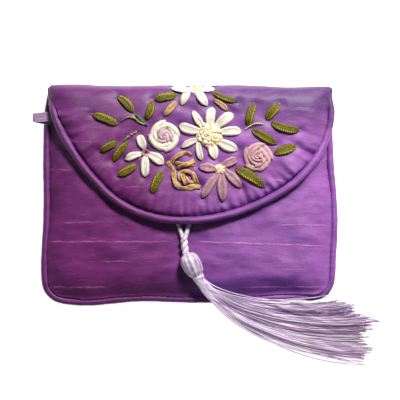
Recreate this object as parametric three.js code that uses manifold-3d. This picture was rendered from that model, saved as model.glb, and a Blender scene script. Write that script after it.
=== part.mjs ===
// An embroidered silk purse that lies on its back, in millimetres.
// +X is to the right across the purse, +Y points to the folded top edge and +Z points up, out of the flap.
// The origin is in the middle of the back panel, on the surface that the purse lies on.

import * as THREE from 'three';
import { mergeVertices } from 'three/addons/utils/BufferGeometryUtils.js';
import Module from 'manifold-3d';

const wasm = await Module();
wasm.setup();

// Driving sizes of the padded cloth
const clothWidth = 126.2;        // from one side seam to the other
const clothHeight = 94.6;        // from the fold to the bottom seam
const foldY = 48.8;              // middle of the cloth at the fold
const flapDrop = 58.1;           // from the fold to the tip of the flap
const paddedThickness = 3.2;
const seamThickness = 1.2;       // where the padding is pressed flat in a seam
const seamHeight = 5;            // middle of the back panel's edge above the surface
const frontCrown = 13.5;         // highest part of the front panel
const mouthInset = 9;            // from the fold to the pocket's mouth
const bottomCorner = 6;          // corner radius at the bottom seam
const backShoulder = 14;         // the back panel rises to its seams over this width
const frontShoulder = 12;        // steep rise of the front panel beside its seams
const frontBelly = 45;           // slow rise that follows it
const mouthFall = 30;            // the front falls to the fold over this length
const mouthFallShare = 0.14;     // of the crown's height
const seamFade = 7;              // the padding thins to the seam over this width

// Driving sizes of the trimmings
const pipingDiameter = 3.6;
const gap = 0.3;                 // between pieces that touch
const ribbonWidth = 4;
const ribbonHeight = 1.3;        // of a padded ribbon stitch over the flap
const roseHeight = 3.2;
const petalTuck = 1.8;           // of a petal's base under the middle of its flower
const studDiameter = 8;
const studThickness = 2.1;
const studAboveTip = 7.5;        // from the tip of the flap's cloth to the middle of the stud
const loopWidth = 4.4;
const loopThickness = 0.9;
const loopBelowFold = 12.4;      // from the fold to the middle of the loop
const loopReach = 9.2;           // past the side seam
const plyDiameter = 1.6;
const cordDiameter = 3;
const cordStem = 7.4;            // twisted length between the two plies' join and the tassel's head
const headDiameter = 8.8;
const headLength = 12.8;
const skirtLength = 85;
const lockWidth = 6.2;
const lockThickness = 3.6;

const halfWidth = clothWidth / 2;
const pipingRadius = pipingDiameter / 2;
const bottomY = foldY - clothHeight;
const tipY = foldY - flapDrop;
const mouthY = foldY - mouthInset;
const frontSeamTop = seamHeight + 1.5 * seamThickness + gap;

// Outline of the cloth: half widths as shares of half the cloth's width, down as a share of its height
const sideOutline = [
  { down: 0.00, left: 0.987, right: 0.987 },
  { down: 0.17, left: 1.003, right: 0.973 },
  { down: 0.38, left: 1.010, right: 0.987 },
  { down: 0.55, left: 1.003, right: 1.010 },
  { down: 0.67, left: 1.010, right: 1.017 },
  { down: 0.82, left: 1.024, right: 1.003 },
  { down: 1.00, left: 1.020, right: 0.992 },
];

// Waves of the bottom seam and of the fold: across is a share of half the width, rise of the cloth's height
const bottomWave = [
  { across: -1.0, rise: 0.000 },
  { across: -0.75, rise: -0.014 },
  { across: -0.35, rise: 0.009 },
  { across: 0.0, rise: 0.000 },
  { across: 0.4, rise: 0.002 },
  { across: 0.8, rise: 0.013 },
  { across: 1.0, rise: 0.010 },
];
const foldWave = [
  { across: -1.0, rise: 0.006 },
  { across: -0.72, rise: -0.001 },
  { across: -0.30, rise: 0.002 },
  { across: 0.0, rise: -0.005 },
  { across: 0.35, rise: 0.002 },
  { across: 0.70, rise: -0.011 },
  { across: 1.0, rise: 0.002 },
];

// Sideways lean of the half ellipse of the flap: down is a share of its drop, lean of half the cloth's width
const flapLean = [
  { down: 0.00, lean: 0.000 },
  { down: 0.28, lean: 0.030 },
  { down: 0.50, lean: 0.050 },
  { down: 0.72, lean: 0.044 },
  { down: 0.87, lean: 0.000 },
  { down: 1.00, lean: -0.040 },
];

// Soft hollows and puffs in the front panel: places as shares of half the width and of the height from the fold,
// deep as a share of the crown, long and wide as shares of half the width, turn in degrees
const dents = [
  { across: -0.55, down: 0.84, deep: 0.060, long: 0.50, wide: 0.10, turn: 8 },
  { across: -0.88, down: 0.62, deep: 0.050, long: 0.26, wide: 0.09, turn: 62 },
  { across: 0.10, down: 0.72, deep: 0.055, long: 0.34, wide: 0.10, turn: -12 },
  { across: 0.72, down: 0.78, deep: 0.060, long: 0.40, wide: 0.11, turn: -34 },
  { across: 0.86, down: 0.50, deep: 0.040, long: 0.30, wide: 0.09, turn: 78 },
  { across: -0.30, down: 0.70, deep: -0.035, long: 0.30, wide: 0.18, turn: 0 },
  { across: 0.45, down: 0.68, deep: -0.035, long: 0.30, wide: 0.16, turn: 10 },
];

// Section of a ribbon stitch along its length: width and height as shares of its largest
const leafForm = [
  { at: 0.00, width: 0.22, height: 0.5 },
  { at: 0.20, width: 0.78, height: 0.85 },
  { at: 0.50, width: 1.00, height: 1.0 },
  { at: 0.80, width: 0.74, height: 0.8 },
  { at: 1.00, width: 0.16, height: 0.35 },
];
const petalForm = [
  { at: 0.00, width: 0.35, height: 0.7 },
  { at: 0.25, width: 0.80, height: 1.0 },
  { at: 0.60, width: 1.00, height: 1.0 },
  { at: 0.88, width: 0.66, height: 0.75 },
  { at: 1.00, width: 0.14, height: 0.4 },
];
const strapForm = [
  { at: 0.00, width: 0.70, height: 0.7 },
  { at: 0.10, width: 1.00, height: 1.0 },
  { at: 0.50, width: 0.90, height: 1.0 },
  { at: 0.90, width: 1.00, height: 1.0 },
  { at: 1.00, width: 0.70, height: 0.7 },
];

// Stitches on the flap: the middle's place across as a share of half the width and down as a share of the drop,
// the turn of the stitch from its base in degrees, its length and width in ribbon widths
const leaves = [
  { name: 'leaf_1', across: -0.615, down: 0.236, turn: 158, long: 3.1, wide: 1.0 },
  { name: 'leaf_2', across: -0.467, down: 0.115, turn: 135, long: 2.6, wide: 0.95 },
  { name: 'leaf_3', across: -0.296, down: 0.163, turn: 74, long: 2.2, wide: 0.95 },
  { name: 'leaf_4', across: -0.176, down: 0.060, turn: -169, long: 2.5, wide: 1.0 },
  { name: 'leaf_5', across: -0.590, down: 0.450, turn: -152, long: 2.2, wide: 0.85 },
  { name: 'leaf_6', across: -0.502, down: 0.487, turn: -128, long: 2.9, wide: 0.85 },
  { name: 'leaf_7', across: -0.454, down: 0.636, turn: -152, long: 2.5, wide: 1.0 },
  { name: 'leaf_8', across: -0.233, down: 0.730, turn: -116, long: 2.8, wide: 1.0 },
  { name: 'leaf_9', across: 0.250, down: 0.054, turn: -22, long: 3.1, wide: 0.65 },
  { name: 'leaf_10', across: 0.444, down: 0.198, turn: 75, long: 2.6, wide: 1.0 },
  { name: 'leaf_11', across: 0.602, down: 0.175, turn: 50, long: 2.3, wide: 1.05 },
  { name: 'leaf_12', across: 0.692, down: 0.292, turn: -15, long: 3.4, wide: 1.0 },
  { name: 'leaf_13', across: 0.538, down: 0.376, turn: -30, long: 3.2, wide: 1.0 },
  { name: 'leaf_14', across: 0.692, down: 0.476, turn: 18, long: 2.7, wide: 1.1 },
  { name: 'leaf_15', across: 0.435, down: 0.694, turn: -32, long: 3.9, wide: 1.2 },
];
const goldLeaves = [
  { name: 'gold_leaf_1', across: -0.143, down: 0.150, turn: -132, long: 2.2, wide: 0.75 },
  { name: 'gold_leaf_2', across: 0.224, down: 0.122, turn: -38, long: 2.1, wide: 0.60 },
];
const topDaisy = {
  centre: { across: 0.045, down: 0.040, radius: 0.66, high: 1.5 },
  petals: [
    { across: -0.030, down: 0.074, turn: -119, long: 1.95, wide: 0.90 },
    { across: 0.094, down: 0.076, turn: -58, long: 1.90, wide: 1.00 },
    { across: -0.022, down: 0.030, turn: 174, long: 1.20, wide: 0.60 },
    { across: 0.118, down: 0.030, turn: 10, long: 1.30, wide: 0.60 },
  ],
};
const daisy = {
  centre: { across: 0.145, down: 0.357, radius: 1.42, high: 1.8 },
  petals: [
    { across: 0.054, down: 0.228, turn: 123, long: 2.1, wide: 0.85 },
    { across: 0.155, down: 0.206, turn: 85, long: 2.0, wide: 1.20 },
    { across: 0.258, down: 0.240, turn: 36, long: 2.2, wide: 1.40 },
    { across: 0.300, down: 0.328, turn: 5, long: 2.2, wide: 1.25 },
    { across: 0.275, down: 0.440, turn: -25, long: 2.5, wide: 1.20 },
    { across: 0.178, down: 0.488, turn: -84, long: 1.8, wide: 1.10 },
    { across: 0.074, down: 0.492, turn: -80, long: 2.0, wide: 0.80 },
    { across: -0.002, down: 0.428, turn: -156, long: 2.1, wide: 0.80 },
    { across: -0.012, down: 0.303, turn: 165, long: 2.2, wide: 1.20 },
  ],
};
const fourPetalFlower = {
  centre: { across: -0.322, down: 0.490, radius: 0.62, high: 1.6 },
  petals: [
    { across: -0.352, down: 0.412, turn: 112, long: 1.7, wide: 1.05 },
    { across: -0.248, down: 0.546, turn: -33, long: 2.2, wide: 1.15 },
    { across: -0.324, down: 0.603, turn: -91, long: 2.5, wide: 1.05 },
    { across: -0.408, down: 0.529, turn: -162, long: 2.1, wide: 0.90 },
  ],
};
const pinkFlower = {
  centre: { across: 0.216, down: 0.630, radius: 0.72, high: 1.8 },
  petals: [
    { across: 0.122, down: 0.620, turn: 172, long: 1.9, wide: 1.05 },
    { across: 0.144, down: 0.765, turn: -124, long: 3.1, wide: 1.05 },
    { across: 0.236, down: 0.775, turn: -88, long: 3.1, wide: 1.10 },
    { across: 0.312, down: 0.706, turn: -46, long: 2.7, wide: 1.05 },
    { across: 0.294, down: 0.574, turn: 26, long: 1.9, wide: 1.05 },
  ],
};
const roses = [
  { name: 'white_rose', across: -0.186, down: 0.368, radius: 1.62, colour: 0xefe0da },
  { name: 'pink_rose', across: 0.492, down: 0.531, radius: 1.52, colour: 0xd9aab0 },
];
const goldKnot = [
  { across: -0.128, down: 0.657, turn: -71, long: 3.4, wide: 0.60 },
  { across: -0.020, down: 0.765, turn: 0, long: 3.1, wide: 0.70 },
  { across: -0.073, down: 0.545, turn: 34, long: 2.6, wide: 0.55 },
  { across: -0.055, down: 0.590, turn: 12, long: 2.8, wide: 0.55 },
  { across: 0.040, down: 0.700, turn: -62, long: 2.3, wide: 0.60 },
  { across: -0.026, down: 0.645, turn: 3, long: 2.0, wide: 0.60 },
  { across: -0.082, down: 0.685, turn: -80, long: 1.7, wide: 1.15 },
  { across: -0.020, down: 0.722, turn: -14, long: 2.1, wide: 0.55 },
];

// Rings of a rose and of a knot centre from the cloth up: shares of the radius and of the height
const roseRings = [
  { out: 0.92, up: 0.00 },
  { out: 1.00, up: 0.42 },
  { out: 0.82, up: 0.66 },
  { out: 0.66, up: 0.58 },
  { out: 0.58, up: 0.90 },
  { out: 0.36, up: 0.84 },
  { out: 0.26, up: 1.00 },
];
const knotRings = [
  { out: 0.95, up: 0.00 },
  { out: 1.00, up: 0.50 },
  { out: 0.75, up: 0.88 },
  { out: 0.35, up: 1.00 },
];

// The tassel's head from the cord to the waist: at as a share of its length, radius of half its diameter
const headForm = [
  { at: 0.00, radius: 0.34 },
  { at: 0.07, radius: 0.74 },
  { at: 0.22, radius: 0.98 },
  { at: 0.50, radius: 1.00 },
  { at: 0.72, radius: 0.86 },
  { at: 0.88, radius: 0.58 },
  { at: 1.00, radius: 0.52 },
];
const headTurn = -62;            // direction of the head from the cord, in degrees
const headRise = 0.84;           // height of the head's section as a share of its width

// Locks of the skirt from its upper edge to its lower: turn of the straight line from waist to tip in degrees,
// reach as a share of the skirt's length and bow, how far the lock curves below that line, as a share of it
const locks = [
  { turn: -6, reach: 0.82, bow: 0.095 },
  { turn: -10.5, reach: 0.92, bow: 0.100 },
  { turn: -14, reach: 0.99, bow: 0.105 },
  { turn: -17.5, reach: 1.01, bow: 0.112 },
  { turn: -21, reach: 1.01, bow: 0.118 },
  { turn: -24.5, reach: 1.00, bow: 0.122 },
  { turn: -27, reach: 0.97, bow: 0.124 },
  { turn: -28.5, reach: 0.88, bow: 0.126 },
];
const lockForm = [
  { at: 0.00, width: 0.42, height: 0.95 },
  { at: 0.10, width: 0.66, height: 1.00 },
  { at: 0.35, width: 0.95, height: 0.92 },
  { at: 0.70, width: 1.00, height: 0.75 },
  { at: 0.93, width: 0.80, height: 0.55 },
  { at: 1.00, width: 0.35, height: 0.35 },
];
const slackSlope = 0.5;          // steepest fall of a lock over an edge

const colours = {
  cloth: 0x83478c,
  front: 0x8a4a90,
  piping: 0x6d2f7c,
  lilac: 0xbfa3c4,
  cord: 0xb79cc0,
  leaf: 0x6f6426,
  gold: 0xb8865a,
  white: 0xf3ead9,
  pink: 0xd3a5ad,
  steel: 0xb9bbc0,
};

const clamp = (value, low, high) => Math.min(Math.max(value, low), high);
const radians = (degrees) => degrees * Math.PI / 180;
const rise = (share) => 1 - (1 - clamp(share, 0, 1)) ** 2;

// Value of a table's column at a place, with smooth turns between the rows
function tableValue(table, key, column, place) {
  const last = table.length - 1;
  const at = clamp(place, table[0][key], table[last][key]);
  const next = Math.max(1, table.findIndex((row) => row[key] >= at));
  const [before, after] = [table[next - 1], table[next]];
  const share = (at - before[key]) / (after[key] - before[key]);
  const smooth = share * share * (3 - 2 * share);
  return before[column] + (after[column] - before[column]) * smooth;
}

const sideEdge = (y, side) => {
  const share = tableValue(sideOutline, 'down', side, (foldY - y) / clothHeight);
  const aboveBottom = clamp(y - bottomY, 0, bottomCorner);
  const cut = bottomCorner - Math.sqrt(bottomCorner ** 2 - (bottomCorner - aboveBottom) ** 2);
  return share * halfWidth - cut;
};
const bottomEdge = (x) => bottomY + clothHeight * tableValue(bottomWave, 'across', 'rise', x / halfWidth);
const foldEdge = (x) => foldY + clothHeight * tableValue(foldWave, 'across', 'rise', x / halfWidth);
const sideDistance = (x, y) => (x < 0 ? sideEdge(y, 'left') + x : sideEdge(y, 'right') - x);

function dentDepth(x, y) {
  let depth = 0;
  for (const dent of dents) {
    const dx = x / halfWidth - dent.across;
    const dy = (foldY - dent.down * clothHeight - y) / halfWidth;
    const turn = radians(dent.turn);
    const along = (dx * Math.cos(turn) - dy * Math.sin(turn)) / dent.long;
    const aside = (dx * Math.sin(turn) + dy * Math.cos(turn)) / dent.wide;
    depth += dent.deep * frontCrown * Math.exp(-along * along - aside * aside);
  }
  return depth;
}

// Height of the front panel's face, which is pressed to the seam at its sides and bottom
function frontFace(x, y) {
  const side = sideDistance(x, y);
  const bottom = y - bottomEdge(x);
  const sidePuff = 0.75 * rise(side / frontShoulder) + 0.25 * rise(side / frontBelly);
  const bottomPuff = 0.75 * rise(bottom / frontShoulder) + 0.25 * rise(bottom / frontBelly);
  const mouthPuff = 1 - mouthFallShare * (1 - rise((foldY - y) / mouthFall));
  const puff = sidePuff * bottomPuff * mouthPuff;
  return frontSeamTop + (frontCrown - frontSeamTop) * puff - dentDepth(x, y) * sidePuff * bottomPuff;
}

function backHeight(x, y) {
  const flat = rise(sideDistance(x, y) / backShoulder) * rise((y - bottomEdge(x)) / backShoulder);
  return seamHeight + (paddedThickness / 2 - seamHeight) * flat;
}

// The back panel slopes up to its seam, so the piping that continues it lies a little higher
const seamSlope = Math.atan(2 * (seamHeight - paddedThickness / 2) / backShoulder);
const pipingOut = (pipingRadius + gap) * Math.cos(seamSlope);
const pipingTop = seamHeight + (pipingRadius + gap) * Math.sin(seamSlope) + pipingRadius;

// The flap rests on its piping over the front panel, and the stud and the side loop lift it where they are
const stud = { x: -0.02 * halfWidth, y: tipY + studAboveTip };
const loopY = foldY - loopBelowFold;
const flapWidthAt = (y) => halfWidth * Math.sqrt(Math.max(0, 1 - ((foldY - y) / flapDrop) ** 2));
const flapLeanAt = (y) => halfWidth * tableValue(flapLean, 'down', 'lean', (foldY - y) / flapDrop);

function flapLift(x, y) {
  const overFront = gap + pipingRadius - paddedThickness / 2;
  const studLift = studThickness + 2 * gap - overFront;
  const studAway = Math.hypot(x - stud.x, y - stud.y) / (2.3 * studDiameter);
  const loopLift = loopThickness + 2.5 * gap;
  const loopAway = Math.hypot(x - flapLeanAt(loopY) + flapWidthAt(loopY), (y - loopY)) / (1.6 * loopWidth);
  return studLift * Math.exp(-(studAway ** 4)) + loopLift * Math.exp(-(loopAway ** 2));
}

function flapHeight(x, y) {
  const step = 0.5;
  const slopeX = (frontFace(x + step, y) - frontFace(x - step, y)) / (2 * step);
  const slopeY = (frontFace(x, y + step) - frontFace(x, y - step)) / (2 * step);
  const steep = Math.sqrt(1 + slopeX ** 2 + slopeY ** 2);
  return frontFace(x, y) + (gap + pipingRadius) * steep + flapLift(x, y);
}

// The fold is half an ellipse between the back panel and the flap
function foldAt(x) {
  const nominalY = foldY - seamHeight;
  const depth = (flapHeight(x, nominalY) - backHeight(x, nominalY)) / 2;
  const startY = foldEdge(x) - depth;
  const low = backHeight(x, startY);
  const high = flapHeight(x, startY);
  return { startY, depth, middle: (low + high) / 2, half: (high - low) / 2 };
}

// Middle of the one cloth that is back panel, fold and flap: along runs 0 to 1 up the back from the bottom seam,
// 1 to 2 over the fold and 2 to 3 down the flap, and across runs from -1 at the left edge to 1 at the right
const tipCut = 0.996;            // the flap's last row is a little short of the tip, where it has no width
function wrapMiddle(along, across) {
  let x = across * halfWidth * sideOutline[0].left;
  if (along <= 1) {
    const fold = foldAt(x);
    const straightY = bottomY + along * (fold.startY - bottomY);
    x = across > 0 ? across * sideEdge(straightY, 'right') : across * sideEdge(straightY, 'left');
    const y = bottomEdge(x) + along * (fold.startY - bottomEdge(x));
    return new THREE.Vector3(x, y, backHeight(x, y));
  }
  if (along <= 2) {
    const fold = foldAt(x);
    const angle = Math.PI * (along - 1.5);
    const y = fold.startY + fold.depth * Math.cos(angle);
    return new THREE.Vector3(x, y, fold.middle + fold.half * Math.sin(angle));
  }
  const fold = foldAt(x);
  const down = tipCut * Math.sin((along - 2) * Math.PI / 2);
  const y = fold.startY + down * (tipY - fold.startY);
  x = flapLeanAt(y) + across * flapWidthAt(y) * sideOutline[0].left;
  return new THREE.Vector3(x, y, flapHeight(x, y));
}

function wrapNormal(along, across) {
  const step = 0.01;
  const ahead = wrapMiddle(Math.min(along + step, 3), across).sub(wrapMiddle(Math.max(along - step, 0), across));
  const aside = wrapMiddle(along, Math.min(across + step, 1)).sub(wrapMiddle(along, Math.max(across - step, -1)));
  return ahead.cross(aside).normalize();
}

function flapEdgeDistance(x, y) {
  const across = (x - flapLeanAt(y)) / halfWidth;
  const level = Math.hypot(across, (foldY - y) / flapDrop);
  return (1 - level) * flapDrop;
}

function wrapThickness(along, x, y) {
  const bottom = along <= 1 ? y - bottomEdge(x) : seamFade;
  const edge = along <= 2 ? sideDistance(x, y) : flapEdgeDistance(x, y);
  const full = rise(edge / seamFade) * rise(bottom / seamFade);
  return seamThickness + (paddedThickness - seamThickness) * full;
}

// Closed geometry from points and faces, turned so that its faces point out
function closedSolid(points, faces) {
  let volume = 0;
  for (const [a, b, c] of faces) {
    volume += points[a].dot(points[b].clone().cross(points[c]));
  }
  const outward = volume > 0 ? faces : faces.map(([a, b, c]) => [a, c, b]);
  const geometry = new THREE.BufferGeometry();
  geometry.setAttribute('position', new THREE.Float32BufferAttribute(points.flatMap((p) => [p.x, p.y, p.z]), 3));
  geometry.setIndex(outward.flat());
  geometry.computeVertexNormals();
  return geometry;
}

// Solid between two grids of points, rows by columns, with a strip round their edge
function sheetSolid(outer, inner) {
  const rows = outer.length;
  const columns = outer[0].length;
  const points = [...outer.flat(), ...inner.flat()];
  const half = rows * columns;
  const index = (row, column) => row * columns + column;
  const faces = [];
  for (let row = 0; row < rows - 1; row += 1) {
    for (let column = 0; column < columns - 1; column += 1) {
      const [a, b] = [index(row, column), index(row, column + 1)];
      const [c, d] = [index(row + 1, column + 1), index(row + 1, column)];
      faces.push([a, b, c], [a, c, d]);
      faces.push([half + a, half + c, half + b], [half + a, half + d, half + c]);
    }
  }
  const edge = gridEdge(rows, columns).map(([row, column]) => index(row, column));
  edge.forEach((a, place) => {
    const b = edge[(place + 1) % edge.length];
    faces.push([a, half + a, half + b], [a, half + b, b]);
  });
  return closedSolid(points, faces);
}

// Places round a grid's edge, first along row 0 from its first column
function gridEdge(rows, columns) {
  const edge = [];
  for (let column = 0; column < columns - 1; column += 1) edge.push([0, column]);
  for (let row = 0; row < rows - 1; row += 1) edge.push([row, columns - 1]);
  for (let column = columns - 1; column > 0; column -= 1) edge.push([rows - 1, column]);
  for (let row = rows - 1; row > 0; row -= 1) edge.push([row, 0]);
  return edge;
}

// Solid through rings of equal counts, open at neither end
function ringSolid(rings) {
  const count = rings[0].length;
  const points = rings.flat();
  const faces = [];
  for (let ring = 0; ring < rings.length - 1; ring += 1) {
    for (let side = 0; side < count; side += 1) {
      const [a, b] = [ring * count + side, ring * count + (side + 1) % count];
      faces.push([a, b, b + count], [a, b + count, a + count]);
    }
  }
  const last = (rings.length - 1) * count;
  for (const [start, turned] of [[0, true], [last, false]]) {
    const centre = new THREE.Vector3();
    for (let side = 0; side < count; side += 1) centre.addScaledVector(points[start + side], 1 / count);
    points.push(centre);
    for (let side = 0; side < count; side += 1) {
      const [a, b] = [start + side, start + (side + 1) % count];
      faces.push(turned ? [points.length - 1, b, a] : [points.length - 1, a, b]);
    }
  }
  return closedSolid(points, faces);
}

function join(geometries) {
  const solids = geometries.map((geometry) => {
    const bare = new THREE.BufferGeometry();
    bare.setAttribute('position', geometry.getAttribute('position'));
    bare.setIndex(geometry.getIndex());
    const merged = mergeVertices(bare, 1e-4);
    const vertProperties = new Float32Array(merged.getAttribute('position').array);
    const triVerts = new Uint32Array(merged.getIndex().array);
    return new wasm.Manifold(new wasm.Mesh({ numProp: 3, vertProperties, triVerts }));
  });
  const mesh = solids.reduce((whole, solid) => whole.add(solid)).getMesh();
  const geometry = new THREE.BufferGeometry();
  geometry.setAttribute('position', new THREE.Float32BufferAttribute(mesh.vertProperties, 3));
  geometry.setIndex(Array.from(mesh.triVerts));
  geometry.computeVertexNormals();
  return geometry;
}

const purse = new THREE.Group();
function add(name, geometry, colour, roughness = 0.6, metalness = 0) {
  const mesh = new THREE.Mesh(geometry, new THREE.MeshStandardMaterial({ color: colour, roughness, metalness }));
  mesh.name = name;
  purse.add(mesh);
}

// Columns are closer together near the edges, where the cloth curves most
const columnsOf = (count) => Array.from({ length: count }, (_, i) => Math.sin((i / (count - 1) - 0.5) * Math.PI));

function backAndFlap() {
  const backRows = Array.from({ length: 12 }, (_, i) => 1 - Math.cos((i / 12) * Math.PI / 2));
  const foldRows = Array.from({ length: 7 }, (_, i) => 1 + i / 7);
  const flapRows = Array.from({ length: 15 }, (_, i) => 2 + i / 14);
  const rows = [...backRows, ...foldRows, ...flapRows];
  const columns = columnsOf(19);
  const outer = [];
  const inner = [];
  for (const along of rows) {
    const line = columns.map((across) => {
      const middle = wrapMiddle(along, across);
      const half = wrapNormal(along, across).multiplyScalar(wrapThickness(along, middle.x, middle.y) / 2);
      return { middle, half };
    });
    outer.push(line.map(({ middle, half }) => middle.clone().add(half)));
    inner.push(line.map(({ middle, half }) => middle.clone().sub(half)));
  }
  return { geometry: sheetSolid(outer, inner), rows, columns };
}

// Round cord that is sewn all round the edge of the back panel and the flap
function edgePiping(rows, columns) {
  const places = gridEdge(rows.length, columns.length).filter(([row, column]) => {
    const inTip = row === rows.length - 1 && column > 0 && column < columns.length - 1;
    return !inTip;
  });
  const edge = places.map(([row, column]) => ({
    middle: wrapMiddle(rows[row], columns[column]),
    normal: wrapNormal(rows[row], columns[column]),
  }));
  const sides = 8;
  const rings = edge.map(({ middle, normal }, place) => {
    const before = edge[(place + edge.length - 1) % edge.length].middle;
    const after = edge[(place + 1) % edge.length].middle;
    const outward = normal.clone().cross(after.clone().sub(before).normalize()).normalize();
    if (outward.dot(middle.clone().sub(new THREE.Vector3(0, foldY / 4, middle.z))) < 0) outward.negate();
    const centre = middle.clone().addScaledVector(outward, pipingRadius + gap);
    return Array.from({ length: sides }, (_, side) => {
      const angle = 2 * Math.PI * (side + 0.5) / sides;
      return centre.clone()
        .addScaledVector(outward, pipingRadius * Math.cos(angle))
        .addScaledVector(normal, pipingRadius * Math.sin(angle));
    });
  });
  const points = rings.flat();
  const faces = [];
  for (let ring = 0; ring < rings.length; ring += 1) {
    const next = (ring + 1) % rings.length;
    for (let side = 0; side < sides; side += 1) {
      const turn = (side + 1) % sides;
      const [a, b] = [ring * sides + side, ring * sides + turn];
      const [c, d] = [next * sides + turn, next * sides + side];
      faces.push([a, b, c], [a, c, d]);
    }
  }
  return closedSolid(points, faces);
}

function frontPanel() {
  const rows = Array.from({ length: 15 }, (_, i) => 1 - Math.cos((i / 14) * Math.PI / 2));
  const columns = columnsOf(17);
  const face = (along, across) => {
    const straightY = bottomY + along * (mouthY - bottomY);
    const x = across * (sideEdge(straightY, across > 0 ? 'right' : 'left') - gap);
    const low = bottomEdge(x) + gap;
    const y = low + along * (mouthY - low);
    return new THREE.Vector3(x, y, frontFace(x, y));
  };
  const outer = [];
  const inner = [];
  for (const along of rows) {
    outer.push(columns.map((across) => face(along, across)));
    inner.push(columns.map((across) => {
      const step = 0.01;
      const here = face(along, across);
      const ahead = face(Math.min(along + step, 1), across).sub(face(Math.max(along - step, 0), across));
      const aside = face(along, Math.min(across + step, 1)).sub(face(along, Math.max(across - step, -1)));
      const up = aside.cross(ahead).normalize();
      const full = rise(sideDistance(here.x, here.y) / seamFade) * rise((here.y - bottomEdge(here.x)) / seamFade);
      const hem = rise((mouthY - here.y) / seamFade + 0.35);
      const thickness = seamThickness + (paddedThickness - seamThickness) * full * hem;
      const lean = new THREE.Vector3(0, 0, 1).lerp(up, full).normalize();
      return here.addScaledVector(lean, -thickness);
    }));
  }
  return sheetSolid(outer, inner);
}

// Height of the flap's upper face where a stitch lies, also on the round of the fold
function flapFace(x, y) {
  const fold = foldAt(x);
  if (y <= fold.startY) return flapHeight(x, y) + paddedThickness / 2;
  const reach = fold.depth + paddedThickness / 2 + gap;
  const over = clamp((y - fold.startY) / reach, 0, 0.95);
  return fold.middle + (fold.half + paddedThickness / 2 + gap * over) * Math.sqrt(1 - over * over);
}

const flapSpot = (across, down) => ({ x: across * halfWidth, y: foldY - down * flapDrop });

// Section of a stitch: aside as a share of half its width, up as a share of its height
const stitchSection = [
  { aside: -1.0, up: 0.25 },
  { aside: -0.5, up: 0.95 },
  { aside: 0.5, up: 0.95 },
  { aside: 1.0, up: 0.25 },
  { aside: 0.45, up: 0.0 },
  { aside: -0.45, up: 0.0 },
];

function ribbonStitch({ across, down, turn, long, wide }, form, height = ribbonHeight) {
  const middle = flapSpot(across, down);
  const [cos, sin] = [Math.cos(radians(turn)), Math.sin(radians(turn))];
  const rings = form.map((row) => stitchSection.map(({ aside, up }) => {
    const along = (row.at - 0.5) * long * ribbonWidth;
    const out = aside * row.width * wide * ribbonWidth / 2;
    const x = middle.x + along * cos - out * sin;
    const y = middle.y + along * sin + out * cos;
    return new THREE.Vector3(x, y, flapFace(x, y) + gap + up * row.height * height);
  }));
  return ringSolid(rings);
}

function roundKnot({ across, down, radius, high }, form, sides) {
  const middle = flapSpot(across, down);
  const rings = form.map(({ out, up }) => Array.from({ length: sides }, (_, side) => {
    const angle = 2 * Math.PI * side / sides;
    const x = middle.x + out * radius * ribbonWidth * Math.cos(angle);
    const y = middle.y + out * radius * ribbonWidth * Math.sin(angle);
    return new THREE.Vector3(x, y, flapFace(x, y) + gap + up * high);
  }));
  return ringSolid(rings);
}

// A petal's base is tucked under the knot in the middle of its flower
function tucked(petal) {
  const back = petalTuck / 2;
  const across = petal.across - back * Math.cos(radians(petal.turn)) / halfWidth;
  const down = petal.down + back * Math.sin(radians(petal.turn)) / flapDrop;
  return { ...petal, across, down, long: petal.long + petalTuck / ribbonWidth };
}

function flower({ centre, petals }) {
  const knot = roundKnot({ ...centre, high: centre.high * ribbonHeight }, knotRings, 10);
  return join([knot, ...petals.map((petal) => ribbonStitch(tucked(petal), petalForm))]);
}

// Press stud between the front panel and the flap, level with the face that it is sewn to
function pressStud() {
  const low = frontFace(stud.x, stud.y) + gap;
  const slopeX = (frontFace(stud.x + 1, stud.y) - frontFace(stud.x - 1, stud.y)) / 2;
  const slopeY = (frontFace(stud.x, stud.y + 1) - frontFace(stud.x, stud.y - 1)) / 2;
  const rings = [0, 1].map((top) => Array.from({ length: 16 }, (_, side) => {
    const angle = 2 * Math.PI * side / 16;
    const dx = studDiameter / 2 * Math.cos(angle);
    const dy = studDiameter / 2 * Math.sin(angle);
    return new THREE.Vector3(stud.x + dx, stud.y + dy, low + dx * slopeX + dy * slopeY + top * studThickness);
  }));
  return ringSolid(rings);
}

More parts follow.
